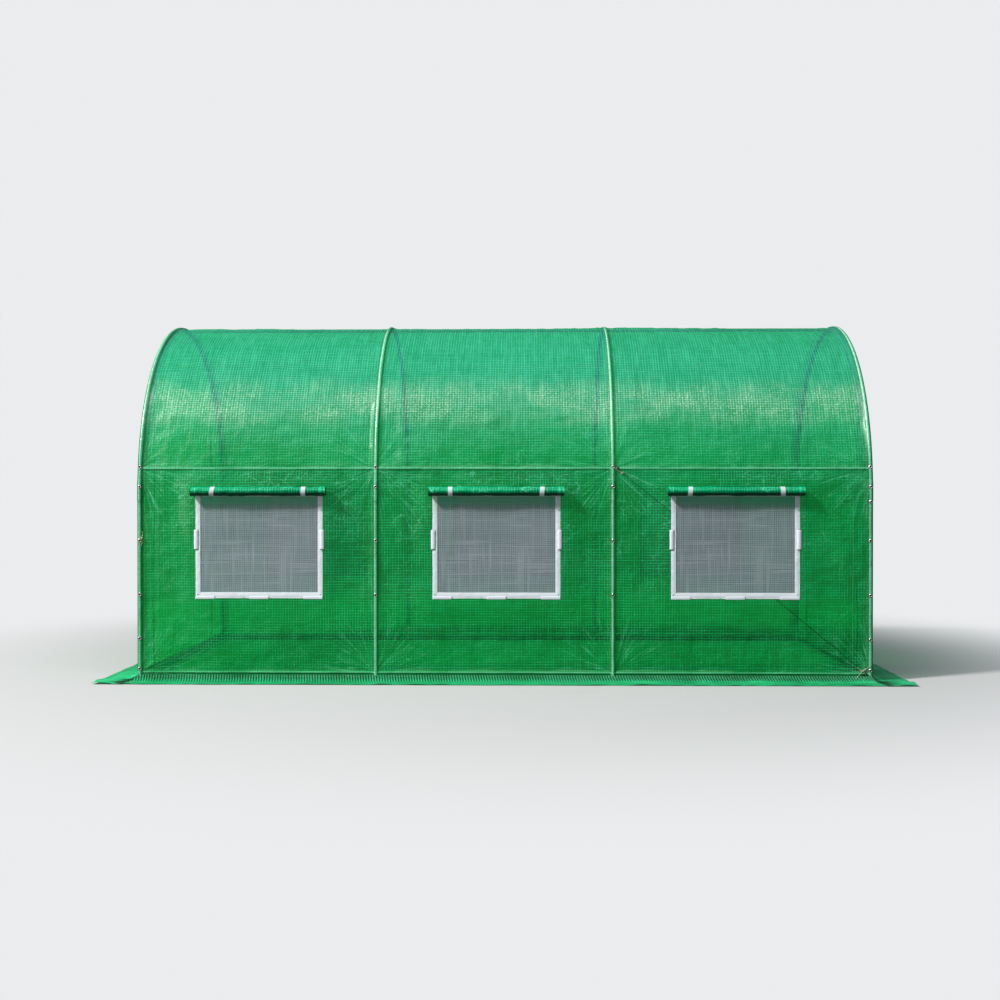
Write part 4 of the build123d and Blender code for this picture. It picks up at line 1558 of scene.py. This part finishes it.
near_skirt = side_skirt_grid()
side_size = (2 * (half_length + skirt_flare), skirt_width + 0.03)
end_size = (2 * (bow_radius + skirt_width), skirt_end_width + 0.02)
skirts = {
    "near_skirt": (near_skirt, side_size),
    "far_skirt": (mirrored(near_skirt, Y), side_size),
    "left_skirt": (end_skirt_grid(-1), end_size),
    "right_skirt": (end_skirt_grid(1), end_size),
}
for node, (grid, size) in skirts.items():
    piece = make_piece(f"{node}_film", [grid], skirt_film)
    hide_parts(node)

# %% [markdown]
# ## Brace, eyelets and ties
# A taut rope runs across the right bay inside the cover, from the eave rail down to the corner. Metal
# eyelets in the cover sit on the hoops, where cords tie the film to the tubes.

# %% Brace
eave_out = -sum(span("near_eave_rail", Y)) / 2
base_out = -sum(span("near_base_rail", Y)) / 2
base_height = sum(span("near_base_rail", Z)) / 2
rope_radius, rope_gap = 0.003, 0.0003
loop_radius = rail_radius + rope_radius + rope_gap
brace_top = np.array([brace_low[X] + rope_radius, -eave_out, eave_height])
brace_foot = np.array([brace_high[X] - rope_radius, -base_out, base_height])


def loop_path(centre, turns, advance):
    """Coil round a rail that runs along X."""
    angle = np.linspace(0, 2 * math.pi * turns, int(26 * turns))
    x = centre[X] + advance * (angle / angle[-1] - 0.5)
    y, z = loop_radius * np.cos(angle), loop_radius * np.sin(angle)
    return points_at(x, centre[Y] + y, centre[Z] + z)


def knot_path(centre, size):
    """Small overhand knot: a three lobed loop that passes through itself."""
    angle = np.linspace(0, 2 * math.pi, 72)
    a = np.sin(angle) + 2 * np.sin(2 * angle)
    b = np.cos(angle) - 2 * np.cos(2 * angle)
    c = -np.sin(3 * angle)
    return np.array(centre) + size / 3 * points_at(a, c * 0.9, b)


def rope_grid(path, radius, pitch=0.024, out=(0, -1, 0)):
    """Laid rope: a three lobed section that turns once in each pitch along its path."""
    path = np.asarray(path, float)
    run = np.concatenate([[0], np.cumsum(np.linalg.norm(np.diff(path, axis=0), axis=1))])
    return carry(path, out, round_profile(radius * 0.93, 12, 3, 0.14), turn=2 * math.pi * run / pitch)


to_inside = np.array([0, loop_radius, 0])
run = np.linspace(0, 1, 420)[:, None]
straight = (brace_top + to_inside) * (1 - run) + (brace_foot + to_inside) * run
brace_grids = [
    rope_grid(straight, rope_radius),
    rope_grid(loop_path(brace_top, 1.5, 0.008), rope_radius, out=(1, 0, 0)),
    rope_grid(loop_path(brace_foot, 1.5, -0.008), rope_radius, out=(1, 0, 0)),
    rope_grid(knot_path(straight[16], 0.0085), rope_radius * 0.9),
    rope_grid(knot_path(straight[-16], 0.0085), rope_radius * 0.9),
]
brace = make_piece("near_brace_rope", brace_grids, brace_rope)
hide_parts("near_brace")

# %% Eyelets
eyelet_heights = (0.469, 0.767, 1.061, 1.169)
end_eyelet_heights = (0.060, 0.228, *eyelet_heights)


def place_on_cover(z):
    """Distance up and over the cover to a height on the near side."""
    above = max(z - post_top, 0)
    return min(z, post_top) - film_foot + bow_radius * math.asin(above / bow_radius)


def eyelet_grid(u, s):
    """Eyelet: a dished ring 22 mm across. Its section rises from a hole painted dark, a painted shade,
    over a rolled collar.
    """
    radius = np.array([0.0, 0.0050, 0.0054, 0.0062, 0.0072, 0.0084, 0.0096, 0.0106, 0.0110])
    lift = np.array([0.0006, 0.0006, 0.0016, 0.0026, 0.0028, 0.0024, 0.0018, 0.0010, -0.0006])
    angle = np.linspace(0, 2 * math.pi, 21)
    radius, angle = np.meshgrid(radius, angle, indexing="ij")
    lift = np.broadcast_to(lift[:, None], radius.shape)
    points = on_tunnel(u + radius * np.cos(angle), s + radius * np.sin(angle), lift)
    return flipped((points, np.stack([radius, angle * 0.01], axis=-1), None))


eyelet_places = [(x, z) for x in hoop_x[1:-1] for z in eyelet_heights]
eyelet_places += [(side * (half_length - 0.001), z) for side in (-1, 1) for z in end_eyelet_heights]
eyelet_places.append((half_length - 0.001, 0.98))
near_eyelets = [eyelet_grid(x, place_on_cover(z)) for x, z in eyelet_places]
both_walls("eyelets", near_eyelets, eyelet_metal)

# %% Ties
tie_radius = 0.0012


def tie_grid(stops, steps=60):
    """Cord laid on the film through a few (u, s, lift) stops, as a smooth curve between them."""
    stops = np.array(stops, float)
    share = np.linspace(0, len(stops) - 1, steps)
    smooth = [np.interp(share, np.arange(len(stops)), stops[:, i]) for i in range(3)]
    kernel = np.hanning(9) / np.hanning(9).sum()
    smooth = [np.convolve(np.pad(values, 4, mode="edge"), kernel, mode="valid") for values in smooth]
    path = on_tunnel(smooth[0], smooth[1], smooth[2] + tie_radius)
    return rope_grid(path, tie_radius, 0.010, out=unit(np.array([0.3, -1.0, 0.4])))


def tie_knot(u, s, size=0.0075):
    """Knot that sits on the film."""
    place = on_tunnel(np.array(u), np.array(s), np.array(0.006))
    return rope_grid(knot_path(place, size), tie_radius, 0.010)


foot_s, eave_tie_s = 0.012, place_on_cover(1.163)
near_tie_grids = [
    tie_grid([(1.998, 0.046, 0.003), (1.980, 0.026, 0.002), (1.957, foot_s, 0.004)]),
    tie_knot(1.955, foot_s, 0.0080),
    tie_knot(1.968, foot_s + 0.008, 0.0065),
    tie_grid(
        [(1.955, foot_s, 0.004), (1.944, 0.002, 0.013), (1.928, -0.012, 0.024), (1.912, -0.026, 0.034)]
    ),
    tie_grid([(1.955, foot_s, 0.004), (1.944, 0.022, 0.002), (1.930, 0.031, 0.001)]),
    tie_grid(
        [(0.604, eave_tie_s, 0.003), (0.624, eave_tie_s - 0.010, 0.001), (0.648, eave_tie_s - 0.024, 0.001)]
    ),
    tie_knot(0.650, eave_tie_s - 0.026, 0.0065),
    tie_knot(-1.990, 0.735),
    tie_grid([(-1.990, 0.735, 0.003), (-1.984, 0.755, 0.001), (-1.988, 0.775, 0.001)]),
    tie_grid([(-1.990, 0.735, 0.003), (-1.986, 0.712, 0.001), (-1.991, 0.695, 0.001)]),
]
make_piece("near_ties", near_tie_grids, tie_cord)

# %% Rivets
def rivet_grid(x, z):
    """Small dark dome at a lower corner of a window's border."""
    tilt = np.linspace(0, math.pi / 2, 6)
    angle = np.linspace(0, 2 * math.pi, 13)
    tilt, angle = np.meshgrid(tilt, angle, indexing="ij")
    radius = 0.0032 * np.sin(tilt)
    out = border_face - 0.0004 + 0.0022 * np.cos(tilt)
    points = points_at(x + radius * np.cos(angle), -out, z + radius * np.sin(angle))
    return flipped((points, np.stack([radius, angle * 0.01], axis=-1), None))


rivet_steel = metal_material("rivet", (0.10, 0.10, 0.11), 0.35, 0.1)
rivet_in = window_half - 0.012
rivet_places = [(x + side * rivet_in, window_bottom + 0.021) for x in window_x for side in (-1, 1)]
both_walls("rivets", [rivet_grid(x, z) for x, z in rivet_places], rivet_steel)

net_size = (len(window_x) * 2 * net_half, net_top - net_bottom)
window_area = net_size[0] * net_size[1]
cover_length = 2 * (half_length + corner_arc)
walls = ((near_wall_film, "near_wall", 0), (far_wall_film, "far_wall", 1))
for piece, node, i in walls:
    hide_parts(node)
    area = cover_length * wall_height - window_area
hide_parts("roof")

for_size = {"frame": frame_box, "visual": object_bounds()}
{key: [list(map(float, corner)) for corner in box] for key, box in for_size.items()}
